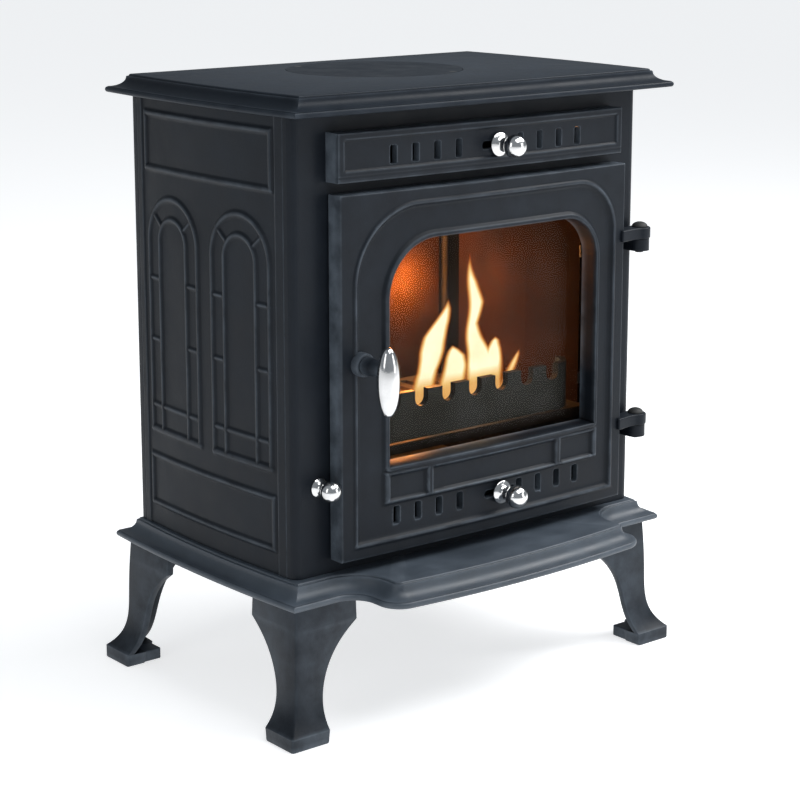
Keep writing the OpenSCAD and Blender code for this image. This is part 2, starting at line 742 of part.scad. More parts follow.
module glass_clip_screws() place() color(steel) at_clips() {
    rod_y(0, 0, 2, door_back - 8, glass_front + glass_t + 2);
    rod_y(0, 0, 3.5, glass_front + glass_t + 1.5, glass_front + glass_t + 4);
}
module door_air_slider() place() color(dark_iron)
    slider_plate(door_cx, slot_z, door_pocket_y + lift_gap, knob_x);
module door_air_knob() place() color(chrome)
    slider_knob(knob_x, slot_z, door_edge_y - front_bow - 0.3, door_pocket_y + lift_gap + 2.5);
module door_slider_guides() place() color(steel) slider_guides(door_cx, slot_z, door_pocket_y);
module hinge_pins() place() color(iron) for (z = hinge_z) {
    hinge_eye(z - 14, z + 13, pin_r);
    translate([hinge_x, hinge_y, z + 12 + lift_gap]) rotate_extrude()
        polygon(concat([[0, 0]], [for (p = arc(0, 0, 8, 0, 90, 8)) [p[0], p[1] * 0.6]]));
}

// --- door handle and latch ---

grip_y = -194;
module handle_shaft() place() color(iron) {
    rod_y(handle_x, handle_z, 5, door_edge_y - 12, front_y + 16);
    rod_y(handle_x, handle_z, 8, grip_y + 4, door_edge_y - 9 - lift_gap);
}
module handle_grip() place() color(chrome) difference() {
    translate([handle_x, grip_y, handle_z - 10]) rotate_extrude()
        polygon([for (i = [0:20]) let (a = -90 + 9 * i) [max(0, grip_r * cos(a)), grip_len / 2 * sin(a)]]);
    rod_y(handle_x, handle_z, 8, grip_y + 4, grip_y + 20);
}
cam_y = front_y + wall + lift_gap;
module latch_cam() place() color(steel) difference() {
    union() {
        rod_y(handle_x, handle_z, 8, cam_y, cam_y + 4);
        block([handle_x - 5, cam_y, handle_z - 24], [handle_x + 5, cam_y + 4, handle_z]);
    }
    rod_y(handle_x, handle_z, 5, cam_y - 1, cam_y + 6);
}
module latch_nut() place() color(steel) difference() {
    translate([handle_x, cam_y + 9, handle_z]) rotate([90, 0, 0]) cylinder(r = 7.5, h = 5, $fn = 6);
    rod_y(handle_x, handle_z, 5, cam_y, cam_y + 12);
}

top_plate();
top_blanking_plate();
blanking_plate_screws();
base_plate();
front_left_leg();
front_right_leg();
rear_left_leg();
rear_right_leg();
leg_bolts();
leg_nuts();
left_side_panel();
right_side_panel();
front_plate();
back_plate();
tie_rods();
tie_rod_nuts();
flue_collar();
collar_bolts();
left_firebrick();
right_firebrick();
rear_firebrick();
baffle_plate();
grate_frame();
grate();
riddling_rod();
riddling_knob();
log_retainer();
ash_pan();
ash_pan_handle();
airwash_panel();
airwash_panel_screws();
airwash_slider();
airwash_knob();
airwash_guides();
door_casting();
door_glass();
glass_gasket();
glass_clips();
glass_clip_screws();
door_rope_seal();
door_air_slider();
door_air_knob();
door_slider_guides();
hinge_pins();
handle_shaft();
handle_grip();
latch_cam();
latch_nut();
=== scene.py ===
"""Looks of a small cast-iron wood burning stove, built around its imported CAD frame."""
import math

import bmesh
import bpy
import numpy as np
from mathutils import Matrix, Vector

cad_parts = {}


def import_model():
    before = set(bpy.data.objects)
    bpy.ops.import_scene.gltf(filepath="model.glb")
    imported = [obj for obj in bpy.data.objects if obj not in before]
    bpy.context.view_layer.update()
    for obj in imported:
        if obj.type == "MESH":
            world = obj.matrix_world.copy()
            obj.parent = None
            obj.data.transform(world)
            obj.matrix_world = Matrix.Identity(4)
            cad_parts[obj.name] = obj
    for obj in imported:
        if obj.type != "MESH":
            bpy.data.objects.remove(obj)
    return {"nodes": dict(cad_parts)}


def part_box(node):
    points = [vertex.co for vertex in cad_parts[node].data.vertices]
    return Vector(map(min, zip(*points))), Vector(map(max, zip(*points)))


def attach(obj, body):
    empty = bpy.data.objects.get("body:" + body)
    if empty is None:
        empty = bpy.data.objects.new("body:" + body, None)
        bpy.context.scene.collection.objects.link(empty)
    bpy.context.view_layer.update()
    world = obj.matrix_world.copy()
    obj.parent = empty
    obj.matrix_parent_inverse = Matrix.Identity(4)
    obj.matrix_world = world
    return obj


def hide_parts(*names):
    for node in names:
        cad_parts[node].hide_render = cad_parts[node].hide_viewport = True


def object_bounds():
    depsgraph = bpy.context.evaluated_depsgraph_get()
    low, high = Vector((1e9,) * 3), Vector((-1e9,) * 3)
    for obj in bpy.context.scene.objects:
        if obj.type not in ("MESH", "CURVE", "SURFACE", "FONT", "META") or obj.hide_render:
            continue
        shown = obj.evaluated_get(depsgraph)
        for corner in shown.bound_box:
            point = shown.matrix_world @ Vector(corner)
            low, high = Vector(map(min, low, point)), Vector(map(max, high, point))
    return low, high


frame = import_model()
CAD = frame["nodes"]
cad_low, cad_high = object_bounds()

# Shapes are worked out in millimetres around the body's middle; MID is that middle's Y in metres.
BODY_D = 266.0
BODY_W = 430.0
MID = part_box("back_plate")[1].y - BODY_D / 2000
panel_low, panel_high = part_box("left_side_panel")
BODY_Z0, BODY_Z1 = panel_low.z * 1000, panel_high.z * 1000
SEAM_F, SEAM_B = (panel_low.y - MID) * 1000, (panel_high.y - MID) * 1000
FRONT_Y = -BODY_D / 2
BACK_Y = BODY_D / 2
SIDE_BOW = 6.5
FRONT_BOW = 5.0
STOVE_H = cad_high.z * 1000


# ---------------------------------------------------------------- mesh helpers
def world(p):
    """Millimetres around the body's middle to metres in the frame."""
    out = np.asarray(p, float) / 1000.0
    out[..., 1] += MID
    return out


def new_piece(name, verts, faces, body, material, node=(), slot=None, smooth=35.0):
    """A piece made from verts in mm, which rides on body and stands in for the CAD nodes in node."""
    me = bpy.data.meshes.new(name)
    me.from_pydata(world(verts).tolist(), [], [list(f) for f in faces])
    me.validate(clean_customdata=False)
    bm = bmesh.new()
    bm.from_mesh(me)
    if bm.calc_volume(signed=True) < 0:
        bmesh.ops.reverse_faces(bm, faces=bm.faces)
    bm.to_mesh(me)
    bm.free()
    ob = bpy.data.objects.new(name, me)
    bpy.context.scene.collection.objects.link(ob)
    finish_mesh(ob, material, smooth)
    if body:
        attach(ob, body)
    for n in node:
        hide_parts(n)
    return ob


def finish_mesh(ob, material, smooth=35.0):
    me = ob.data
    me.shade_smooth()
    me.set_sharp_from_angle(angle=math.radians(smooth))
    if material is not None:
        me.materials.clear()
        me.materials.append(material)


def bevel(ob, width_mm, segments=3, angle=32):
    m = ob.modifiers.new("edge_round", "BEVEL")
    m.width = width_mm / 1000
    m.segments = segments
    m.limit_method = "ANGLE"
    m.angle_limit = math.radians(angle)
    m.harden_normals = False
    m.use_clamp_overlap = True


def ring_bands(rings, count):
    """Vertices of closed rings of equal length, and the quads of the first count bands between them."""
    n = len(rings[0])
    verts = np.concatenate([np.asarray(r, float) for r in rings])
    faces = []
    for k in range(count):
        a, b = k * n, (k + 1) % len(rings) * n
        for i in range(n):
            j = (i + 1) % n
            faces.append((a + i, a + j, b + j, b + i))
    return verts, faces


def loft(rings):
    """Closed rings joined into a solid, with a face over each end."""
    verts, faces = ring_bands(rings, len(rings) - 1)
    n = len(rings[0])
    last = (len(rings) - 1) * n
    faces.append(tuple(range(n - 1, -1, -1)))
    faces.append(tuple(last + i for i in range(n)))
    return verts, faces


def torus_loft(rings):
    """Closed rings joined into a solid with a hole: the last ring meets the first."""
    return ring_bands(rings, len(rings))


def slab(front, back0, back1):
    """Solid behind a grid of points front[i][j], whose back edges at the first and last j are given."""
    nu, nv = front.shape[:2]
    verts = np.concatenate([front.reshape(-1, 3), back0, back1])
    b0 = nu * nv
    b1 = b0 + nu

    def at(i, j):
        return i * nv + j

    faces = [(at(i, j), at(i + 1, j), at(i + 1, j + 1), at(i, j + 1))
             for i in range(nu - 1) for j in range(nv - 1)]
    for i in range(nu - 1):
        faces.append((at(i + 1, 0), at(i, 0), b0 + i, b0 + i + 1))
        faces.append((b0 + i + 1, b0 + i, b1 + i, b1 + i + 1))
        faces.append((at(i, nv - 1), at(i + 1, nv - 1), b1 + i + 1, b1 + i))
    faces.append([at(0, j) for j in range(nv)] + [b1, b0])
    faces.append([at(nu - 1, j) for j in range(nv - 1, -1, -1)] + [b0 + nu - 1, b1 + nu - 1])
    return verts, faces


def graded(a, b, step):
    """Coordinates from a to b at about one step, with extra lines close to both ends."""
    ends = [0.0, 0.2, 0.6, 1.2]
    near = ends[-1]
    n = max(2, int(round((b - a - 2 * near) / step)))
    mid = np.linspace(a + near, b - near, n + 1)[1:-1]
    return np.concatenate([[a + e for e in ends], mid, [b - e for e in reversed(ends)]])


def edge_drop(d, r=1.2):
    """How far a rounded edge of radius r falls at distance d from the border."""
    d = np.clip(d, 0, r)
    return r - np.sqrt(np.maximum(r * r - (r - d) ** 2, 0))


def cut_away(ob, name, solid):
    """Take a (verts, faces) solid out of a piece."""
    cutter = new_piece(name, *solid, None, None)
    m = ob.modifiers.new("cut", "BOOLEAN")
    m.operation = "DIFFERENCE"
    m.solver = "EXACT"
    m.object = cutter
    dg = bpy.context.evaluated_depsgraph_get()
    me = bpy.data.meshes.new_from_object(ob.evaluated_get(dg))
    old = ob.data
    ob.modifiers.clear()
    ob.data = me
    bpy.data.meshes.remove(old)
    bpy.data.objects.remove(cutter)


def prism_y(outline, y0, y1):
    """Solid from an XZ outline between two Y planes."""
    return loft([[(x, y0, z) for x, z in outline], [(x, y1, z) for x, z in outline]])


def prism_z(outline, z0, z1):
    """Solid from an XY outline between two heights."""
    return loft([[(x, y, z0) for x, y in outline], [(x, y, z1) for x, y in outline]])


def merge(parts):
    """Several (verts, faces) solids as one."""
    verts, faces, base = [], [], 0
    for v, f in parts:
        verts.append(np.asarray(v, float))
        faces += [[base + i for i in q] for q in f]
        base += len(v)
    return np.concatenate(verts), faces


def rect(x0, y0, x1, y1):
    return [(x0, y0), (x1, y0), (x1, y1), (x0, y1)]


def arc_pts(cx, cy, r, a0, a1, n):
    angles = [math.radians(a) for a in np.linspace(a0, a1, n)]
    return [(cx + r * math.cos(a), cy + r * math.sin(a)) for a in angles]


def rounded_rect(x0, z0, x1, z1, r, n=6):
    pts = []
    corners = ((x1 - r, z1 - r), (x0 + r, z1 - r), (x0 + r, z0 + r), (x1 - r, z0 + r))
    for quarter, (cx, cz) in enumerate(corners):
        for i in range(n + 1):
            t = math.radians(90 * quarter + 90 * i / n)
            pts.append((cx + r * math.cos(t), cz + r * math.sin(t)))
    return pts


def turned(name, profile, origin, axis, body, material, node=(), slot=None, seg=72, smooth=40.0):
    """Solid of revolution: profile is (radius, height) along axis from origin, both in mm."""
    axis = Vector(axis).normalized()
    side = axis.orthogonal().normalized()
    up = axis.cross(side)
    rings = []
    for r, h in profile:
        ring = []
        for k in range(seg):
            a = 2 * math.pi * k / seg
            p = Vector(origin) + axis * h + side * (r * math.cos(a)) + up * (r * math.sin(a))
            ring.append(tuple(p))
        rings.append(ring)
    v, f = loft(rings)
    return new_piece(name, v, f, body, material, node, slot, smooth)


# ---------------------------------------------------------------- materials
def start_material(name):
    """A new material with a Principled shader on its output."""
    mat = bpy.data.materials.new(name)
    mat.use_nodes = True
    nt = mat.node_tree
    nt.nodes.clear()
    out = nt.nodes.new("ShaderNodeOutputMaterial")
    bsdf = nt.nodes.new("ShaderNodeBsdfPrincipled")
    nt.links.new(bsdf.outputs[0], out.inputs[0])
    return mat, nt, bsdf


def object_coords(nt):
    return nt.nodes.new("ShaderNodeTexCoord").outputs["Object"]


def math_node(nt, operation, a, b):
    m = nt.nodes.new("ShaderNodeMath")
    m.operation = operation
    nt.links.new(a, m.inputs[0])
    nt.links.new(b, m.inputs[1])
    return m.outputs[0]


def blend_shaders(nt, factor, first, second, target):
    """Link a mix of two shader outputs to the target socket."""
    mix = nt.nodes.new("ShaderNodeMixShader")
    nt.links.new(factor, mix.inputs[0])
    nt.links.new(first.outputs[0], mix.inputs[1])
    nt.links.new(second.outputs[0], mix.inputs[2])
    nt.links.new(mix.outputs[0], target)


def tex(nt, kind, scale, detail=3.0, rough=0.5, coord=None, **kw):
    t = nt.nodes.new(kind)
    t.inputs["Scale"].default_value = scale
    if "Detail" in t.inputs:
        t.inputs["Detail"].default_value = detail
    if "Roughness" in t.inputs:
        t.inputs["Roughness"].default_value = rough
    for k, v in kw.items():
        t.inputs[k].default_value = v
    if coord is not None:
        nt.links.new(coord, t.inputs["Vector"])
    return t


def ramp(nt, source, stops):
    """Colour ramp with (position, colour) stops."""
    r = nt.nodes.new("ShaderNodeValToRGB")
    r.color_ramp.elements[0].position = stops[0][0]
    r.color_ramp.elements[0].color = (*stops[0][1], 1)
    r.color_ramp.elements[1].position = stops[-1][0]
    r.color_ramp.elements[1].color = (*stops[-1][1], 1)
    for pos, col in stops[1:-1]:
        e = r.color_ramp.elements.new(pos)
        e.color = (*col, 1)
    nt.links.new(source, r.inputs[0])
    return r.outputs[0]


def map_range(nt, source, a, b, c, d):
    """Source mapped from the range a to b onto c to d."""
    m = nt.nodes.new("ShaderNodeMapRange")
    for i, v in zip(range(1, 5), (a, b, c, d)):
        m.inputs[i].default_value = v
    nt.links.new(source, m.inputs[0])
    return m.outputs[0]


def mix_colour(nt, factor, a, b):
    """Mix of a and b, where the factor and the colours may be sockets or values."""
    m = nt.nodes.new("ShaderNodeMix")
    m.data_type = "RGBA"
    for key, val in ((0, factor), (6, a), (7, b)):
        if hasattr(val, "links"):
            nt.links.new(val, m.inputs[key])
        elif key == 0:
            m.inputs[0].default_value = val
        else:
            m.inputs[key].default_value = (*val, 1)
    return m.outputs[2]


def bump(nt, bsdf, layers):
    """layers: (height socket, strength, distance in metres), the last one outermost."""
    normal = None
    for height, strength, dist in layers:
        b = nt.nodes.new("ShaderNodeBump")
        b.inputs["Strength"].default_value = strength
        b.inputs["Distance"].default_value = dist
        nt.links.new(height, b.inputs["Height"])
        if normal is not None:
            nt.links.new(normal, b.inputs["Normal"])
        normal = b.outputs[0]
    nt.links.new(normal, bsdf.inputs["Normal"])


def iron_material(name, base, light, rough, grain=1.0, wear_and_painted_light=0.0, dust_and_highlight=(0.2, 0.2, 0.2), spec=0.5):
    """Painted cast iron: cloudy colour, sandy grain and pits, and with edge wear set, edges lightened partly
    by dust and wear and partly as a painted highlight, and hollows darkened as painted shade.
    """
    mat, nt, bsdf = start_material(name)
    co = object_coords(nt)
    cloud = tex(nt, "ShaderNodeTexNoise", 7.0, 4.0, 0.55, co)
    blot = tex(nt, "ShaderNodeTexNoise", 38.0, 5.0, 0.6, co)
    sand = tex(nt, "ShaderNodeTexNoise", 1100.0, 2.5, 0.6, co)
    pits = tex(nt, "ShaderNodeTexVoronoi", 620.0, coord=co)
    swell = tex(nt, "ShaderNodeTexNoise", 55.0, 3.0, 0.5, co)
    patches = math_node(nt, "MULTIPLY", cloud.outputs[0], blot.outputs[0])
    colour = ramp(nt, patches, [(0.12, base), (0.42, light)])
    gloss = map_range(nt, blot.outputs[0], 0.3, 0.7, rough - 0.05, rough + 0.09)
    bsdf.inputs["Metallic"].default_value = 0.0
    bsdf.inputs["Specular IOR Level"].default_value = spec
    if wear_and_painted_light:
        # convex edges are lightened towards the dust colour: partly dust and wear, partly a painted highlight
        # on bead crests and edges
        point = nt.nodes.new("ShaderNodeNewGeometry").outputs["Pointiness"]
        edge = map_range(nt, point, 0.505, 0.56, 0.0, wear_and_painted_light)
        worn_and_highlit_edge = math_node(nt, "MULTIPLY", edge, map_range(nt, blot.outputs[0], 0.35, 0.65, 0.35, 1.0))
        # painted shade: concave places and creases are darkened towards a third of the base colour
        hollow = map_range(nt, point, 0.44, 0.495, 0.5, 0.0)
        colour = mix_colour(nt, hollow, mix_colour(nt, worn_and_highlit_edge, colour, dust_and_highlight), tuple(c * 0.35 for c in base))
        gloss = math_node(nt, "SUBTRACT", gloss, map_range(nt, worn_and_highlit_edge, 0.0, 1.0, 0.0, 0.1))
    nt.links.new(colour, bsdf.inputs["Base Color"])
    nt.links.new(gloss, bsdf.inputs["Roughness"])
    bump(nt, bsdf, [(swell.outputs[0], 0.12 * grain, 0.0015), (pits.outputs[0], 0.10 * grain, 0.0004),
                    (sand.outputs[0], 0.28 * grain, 0.0004)])
    return mat


def chrome_material(name, tint=(0.74, 0.74, 0.74), rough=0.09):
    mat, nt, bsdf = start_material(name)
    co = object_coords(nt)
    smear = tex(nt, "ShaderNodeTexNoise", 90.0, 5.0, 0.6, co)
    fine = tex(nt, "ShaderNodeTexNoise", 700.0, 2.0, 0.5, co)
    col = ramp(nt, smear.outputs[0], [(0.3, tuple(c * 0.86 for c in tint)), (0.7, tint)])
    nt.links.new(col, bsdf.inputs["Base Color"])
    bsdf.inputs["Metallic"].default_value = 1.0
    nt.links.new(map_range(nt, smear.outputs[0], 0.3, 0.75, rough, rough + 0.12), bsdf.inputs["Roughness"])
    bump(nt, bsdf, [(fine.outputs[0], 0.03, 0.0003)])
    return mat


def steel_material(name, tint=(0.38, 0.38, 0.39), rough=0.38, rust=(0.16, 0.09, 0.05)):
    mat, nt, bsdf = start_material(name)
    co = object_coords(nt)
    blot = tex(nt, "ShaderNodeTexNoise", 120.0, 5.0, 0.65, co)
    fine = tex(nt, "ShaderNodeTexNoise", 900.0, 3.0, 0.5, co)
    col = ramp(nt, blot.outputs[0], [(0.25, rust), (0.42, tuple(c * 0.8 for c in tint)), (0.75, tint)])
    nt.links.new(col, bsdf.inputs["Base Color"])
    bsdf.inputs["Metallic"].default_value = 0.9
    nt.links.new(map_range(nt, blot.outputs[0], 0.25, 0.75, rough + 0.2, rough), bsdf.inputs["Roughness"])
    bump(nt, bsdf, [(fine.outputs[0], 0.15, 0.0003)])
    return mat


def brick_material(name):
    mat, nt, bsdf = start_material(name)
    co = object_coords(nt)
    soot = tex(nt, "ShaderNodeTexNoise", 9.0, 5.0, 0.6, co)
    grit = tex(nt, "ShaderNodeTexNoise", 420.0, 4.0, 0.7, co)
    crack = tex(nt, "ShaderNodeTexVoronoi", 14.0, coord=co)
    crack.feature = "DISTANCE_TO_EDGE"
    tone = ramp(nt, soot.outputs[0], [(0.35, (0.007, 0.0034, 0.0018)), (0.55, (0.020, 0.0088, 0.0040)),
                                      (0.78, (0.050, 0.023, 0.010))])
    speck = mix_colour(nt, map_range(nt, grit.outputs[0], 0.4, 0.65, 0.0, 0.15), tone, (0.05, 0.026, 0.014))
    line = map_range(nt, crack.outputs[0], 0.0, 0.012, 0.7, 0.0)
    nt.links.new(mix_colour(nt, line, speck, (0.02, 0.015, 0.01)), bsdf.inputs["Base Color"])
    bsdf.inputs["Roughness"].default_value = 0.95
    bsdf.inputs["Specular IOR Level"].default_value = 0.05
    bump(nt, bsdf, [(crack.outputs[0], 0.1, 0.001), (grit.outputs[0], 0.15, 0.0002)])
    return mat


def rope_material(name):
    mat, nt, bsdf = start_material(name)
    co = object_coords(nt)
    mp = nt.nodes.new("ShaderNodeMapping")
    mp.inputs["Rotation"].default_value = (0.3, 0.8, 0.5)
    nt.links.new(co, mp.inputs["Vector"])
    wave = nt.nodes.new("ShaderNodeTexWave")
    wave.inputs["Scale"].default_value = 160.0
    wave.inputs["Distortion"].default_value = 2.5
    nt.links.new(mp.outputs[0], wave.inputs["Vector"])
    dirt = tex(nt, "ShaderNodeTexNoise", 45.0, 4.0, 0.6, co)
    tone = ramp(nt, dirt.outputs[0], [(0.3, (0.09, 0.085, 0.08)), (0.7, (0.42, 0.41, 0.38))])
    colour = mix_colour(nt, map_range(nt, wave.outputs[0], 0, 1, 0.5, 0.0), tone, (0.08, 0.08, 0.075))
    nt.links.new(colour, bsdf.inputs["Base Color"])
    bsdf.inputs["Roughness"].default_value = 0.9
    bsdf.inputs["Sheen Weight"].default_value = 0.3
    bump(nt, bsdf, [(wave.outputs[0], 0.6, 0.0008)])
    return mat


def glass_material(name):
    mat, nt, bsdf = start_material(name)
    co = object_coords(nt)
    film = tex(nt, "ShaderNodeTexNoise", 16.0, 5.0, 0.6, co)
    tone = ramp(nt, film.outputs[0], [(0.35, (0.80, 0.77, 0.72)), (0.75, (0.95, 0.94, 0.92))])
    clear = nt.nodes.new("ShaderNodeBsdfTransparent")
    nt.links.new(tone, clear.inputs[0])
    bsdf.inputs["Base Color"].default_value = (0.03, 0.02, 0.015, 1)
    nt.links.new(map_range(nt, film.outputs[0], 0.3, 0.8, 0.03, 0.12), bsdf.inputs["Roughness"])
    bsdf.inputs["Specular IOR Level"].default_value = 0.4
    haze = map_range(nt, film.outputs[0], 0.3, 0.8, 0.06, 0.13)
    blend_shaders(nt, haze, clear, bsdf, nt.nodes["Material Output"].inputs[0])
    return mat


PANEL_TONES = (0.0060, 0.0082, 0.0120), (0.0125, 0.0165, 0.0225)
PLAIN_TONES = (0.0072, 0.0098, 0.0143), (0.0108, 0.0144, 0.0200)
# painted light: a lighter, bluer copy of the panel paint for the top plate and its blanking plate, for upward
# faces that catch the lamps
TOP_LIT_TONES = (0.0090, 0.0126, 0.0182), (0.0132, 0.0180, 0.0250)
# painted light: a much lighter copy of the panel paint for the base plate and apron, standing in for the
# light their upward faces catch
BASE_LIT_TONES = (0.036, 0.046, 0.059), (0.060, 0.076, 0.096)
RETAINER_TONES = (0.0095, 0.0150, 0.0180), (0.0180, 0.0265, 0.0310)
SOOT_TONES = (0.010, 0.0105, 0.011), (0.026, 0.027, 0.027)
# painted shade: a near-black copy of the iron for the air slides, so the slots in front of them read as dark
SLIDE_SHADED_TONES = (0.002, 0.0022, 0.0026), (0.0045, 0.0048, 0.0055)

# the plain paints go on coarse CAD meshes, where the edge wear with its painted highlight and the painted
# hollow shade would come out as blotches
IRON = iron_material("stove_paint_iron", *PANEL_TONES, 0.43, wear_and_painted_light=0.7, dust_and_highlight=(0.125, 0.150, 0.180), spec=0.14)
IRON_PLAIN = iron_material("stove_paint_plain", *PLAIN_TONES, 0.43, spec=0.14)
IRON_TOP_LIT = iron_material("stove_paint_top", *TOP_LIT_TONES, 0.42, wear_and_painted_light=0.35, dust_and_highlight=(0.08, 0.097, 0.12), spec=0.08)
IRON_BASE_LIT = iron_material("stove_paint_base_lit", *BASE_LIT_TONES, 0.42, wear_and_painted_light=0.35, dust_and_highlight=(0.11, 0.13, 0.155),
                          spec=0.35)
RETAINER = iron_material("retainer_paint", *RETAINER_TONES, 0.45, spec=0.3)
TOP_PLAIN_LIT = iron_material("stove_paint_top_plain", *TOP_LIT_TONES, 0.42, spec=0.08)
SOOTY = iron_material("sooty_iron", *SOOT_TONES, 0.6, grain=0.5, wear_and_painted_light=0.35, dust_and_highlight=(0.12, 0.12, 0.115),
                      spec=0.3)
SLIDE_SHADED = iron_material("slide_iron_shaded", *SLIDE_SHADED_TONES, 0.6, spec=0.08)
CHROME = chrome_material("polished_chrome")
STEEL = steel_material("dull_zinc")
PAN = steel_material("pan_sheet", (0.09, 0.09, 0.092), 0.5, (0.05, 0.035, 0.025))
BRICK = brick_material("firebrick_board")
ROPE = rope_material("rope_braid")
GLASS = glass_material("ceramic_glass")


# ---------------------------------------------------------------- relief profiles
def bead(d, half_w, height, flat=0.0):
    """Rounded bead: full height where d < flat, falling smoothly to nothing at half_w."""
    t = np.clip((half_w - np.abs(d)) / (half_w - flat), 0, 1)
    return height * np.sin(t * math.pi / 2) ** 1.2


def smooth01(t):
    """Smooth step from 0 at t = 0 to 1 at t = 1."""
    t = np.clip(t, 0, 1)
    return t * t * (3 - 2 * t)


def box_dist(u, v, u0, v0, u1, v1):
    """Signed distance to a rectangle, negative inside."""
    du = np.maximum(u0 - u, u - u1)
    dv = np.maximum(v0 - v, v - v1)
    return np.where((du > 0) & (dv > 0), np.hypot(du, dv), np.maximum(du, dv))


def segment_dist(u, v, a, b):
    """Distance to the straight line from a to b."""
    ax, ay = a
    bx, by = b
    t = ((u - ax) * (bx - ax) + (v - ay) * (by - ay)) / ((bx - ax) ** 2 + (by - ay) ** 2)
    t = np.clip(t, 0, 1)
    return np.hypot(u - ax - t * (bx - ax), v - ay - t * (by - ay))


def shouldered_dist(u, v, x0, z0, x1, z1, r_left, r_right):
    """Signed distance to a rectangle whose upper corners are rounded."""
    d = box_dist(u, v, x0, z0, x1, z1)
    for cx, sign, r in ((x0 + r_left, -1, r_left), (x1 - r_right, 1, r_right)):
        zone = ((u - cx) * sign > 0) & (v > z1 - r)
        d = np.where(zone, np.hypot(u - cx, v - (z1 - r)) - r, d)
    return d


# ---------------------------------------------------------------- side panels
def side_x(y):
    return BODY_W / 2 + SIDE_BOW * (1 - (y / BACK_Y) ** 2)


SIDE_FRAMES = (508, 569), (171, 228)    # heights of the two long frames
SIDE_FRAME_HALF = 107
ARCH_Y, ARCH_Z = 56, 441                # the two arches' middles, either side of the panel's
ARCH_OUT, ARCH_IN = 47.5, 27.5
ARCH_SILL = 251.5
RUNG_IN, RUNG_OUT = 25, 45
RUNGS = (343, 404)
RIM = 1.5                               # the panel's border stands this far proud
CAST_T = 6.0


def side_relief(y, z):
    """Height of the raised lines on a side panel."""
    h = np.zeros_like(y)

    def raise_line(d, half_w, height, flat):
        return np.maximum(h, bead(d, half_w, height, flat))

    for z0, z1 in SIDE_FRAMES:
        d = box_dist(y, z, -SIDE_FRAME_HALF, z0, SIDE_FRAME_HALF, z1)
        h = raise_line(d + 4.0, 3.8, 2.1, 0.4)
    for s in (-1, 1):
        u = y - s * ARCH_Y
        for r, width in ((ARCH_OUT, 7.5), (ARCH_IN, 7.0)):
            d = np.where(z > ARCH_Z, np.hypot(u, z - ARCH_Z), np.abs(u)) - r
            line = bead(d + width / 2, width / 2, 2.1, 0.3)
            h = np.maximum(h, np.where(z > ARCH_SILL - 1.5, line, 0))
        h = raise_line(segment_dist(u, z, (-44, ARCH_SILL), (44, ARCH_SILL)), 4.5, 2.2, 0.8)
        h = raise_line(segment_dist(u, z, (-44, ARCH_SILL + 25), (44, ARCH_SILL + 25)), 3.4, 1.7, 0.4)
        for e in (-1, 1):
            spoke = e * math.cos(math.radians(38)), math.sin(math.radians(38))
            ends = [((e * RUNG_IN, rung), (e * RUNG_OUT, rung)) for rung in RUNGS]
            ends.append([(r * spoke[0], ARCH_Z + r * spoke[1]) for r in (RUNG_IN, RUNG_OUT)])
            for p0, p1 in ends:
                h = raise_line(segment_dist(u, z, p0, p1), 2.9, 1.6, 0.3)
    front = smooth01((y - SEAM_F - 12.0) / 2.0)
    back = smooth01((SEAM_B - 9.0 - y) / 2.0)
    return np.maximum(h, RIM * (1 - np.minimum(front, back)))


def side_panel(s):
    """One side casting; s is 1 on the right and -1 on the left."""
    name = "right_side_panel" if s > 0 else "left_side_panel"
    ys = graded(SEAM_F, SEAM_B, 1.15)
    zs = graded(BODY_Z0, BODY_Z1, 1.25)
    Y, Z = np.meshgrid(ys, zs, indexing="ij")
    drop = np.maximum(edge_drop(Y - SEAM_F, 0.9), edge_drop(SEAM_B - Y, 0.9))
    X = side_x(Y) - RIM + side_relief(Y, Z) - drop
    front = np.stack([s * X, Y, Z], -1)
    back_x = s * (side_x(ys) - RIM - CAST_T)
    back0 = np.stack([back_x, ys, np.full_like(ys, BODY_Z0)], -1)
    back1 = np.stack([back_x, ys, np.full_like(ys, BODY_Z1)], -1)
    v, f = slab(front, back0, back1)
    new_piece(name + "_casting", v, f, "stove_body", IRON, [name], "cast_iron_shell", 50)
    # the ledge for the grate frame and the lug under the baffle, cast on the inside
    ledge = prism_z(rect(s * 196, -95, s * 212, 95), 234, 242)
    lug = prism_z(rect(s * 156, -46, s * 213, -34), 484, 493)
    v, f = merge([ledge, lug])
    ledges = new_piece(name + "_ledges", v, f, "stove_body", SOOTY, [], "cast_iron_shell")
    bevel(ledges, 1.0, 2)


for s in (-1, 1):
    side_panel(s)


# ---------------------------------------------------------------- top and base plates
def edge_side(w, y0, y1):
    """The right edge, bowed like the side panel under it."""
    return [(w + SIDE_BOW * (1 - k * k), (y0 + y1) / 2 + k * (y1 - y0) / 2) for k in np.linspace(-1, 1, 41)]


def edge_back(w, y):
    return [(w * t, y) for t in np.linspace(1, 0, 31)[1:]]


# half width, front and back of each plate at its corners
TOP_W, TOP_F, TOP_R = 234.5, -166.0, 147.0
BASE_W, BASE_F, BASE_R = 235.0, -158.0, 148.0
TOP_T, BASE_T = 18.0, 21.0
BASE_Z0 = BODY_Z0 - BASE_T
APRON = (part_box("base_plate")[0].y - MID) * -1000
APRON_HALF = 138                        # half the apron's width, before the corners that end it
MOULD_DEPTH, MOULD_STEP = 15.0, 3.0


def mirror_ring(half):
    """A whole outline from its right half, which runs from the front's middle to the back's."""
    return half + [(-x, y) for x, y in reversed(half[1:-1])]


def top_outline(inset):
    w, y0, y1 = TOP_W - inset, TOP_F + inset, TOP_R - inset
    half = [(w * t, y0 - FRONT_BOW * (1 - t * t)) for t in np.linspace(0, 1, 41)[:-1]]
    half += edge_side(w, y0, y1)
    half += edge_back(w, y1)
    return mirror_ring(half)


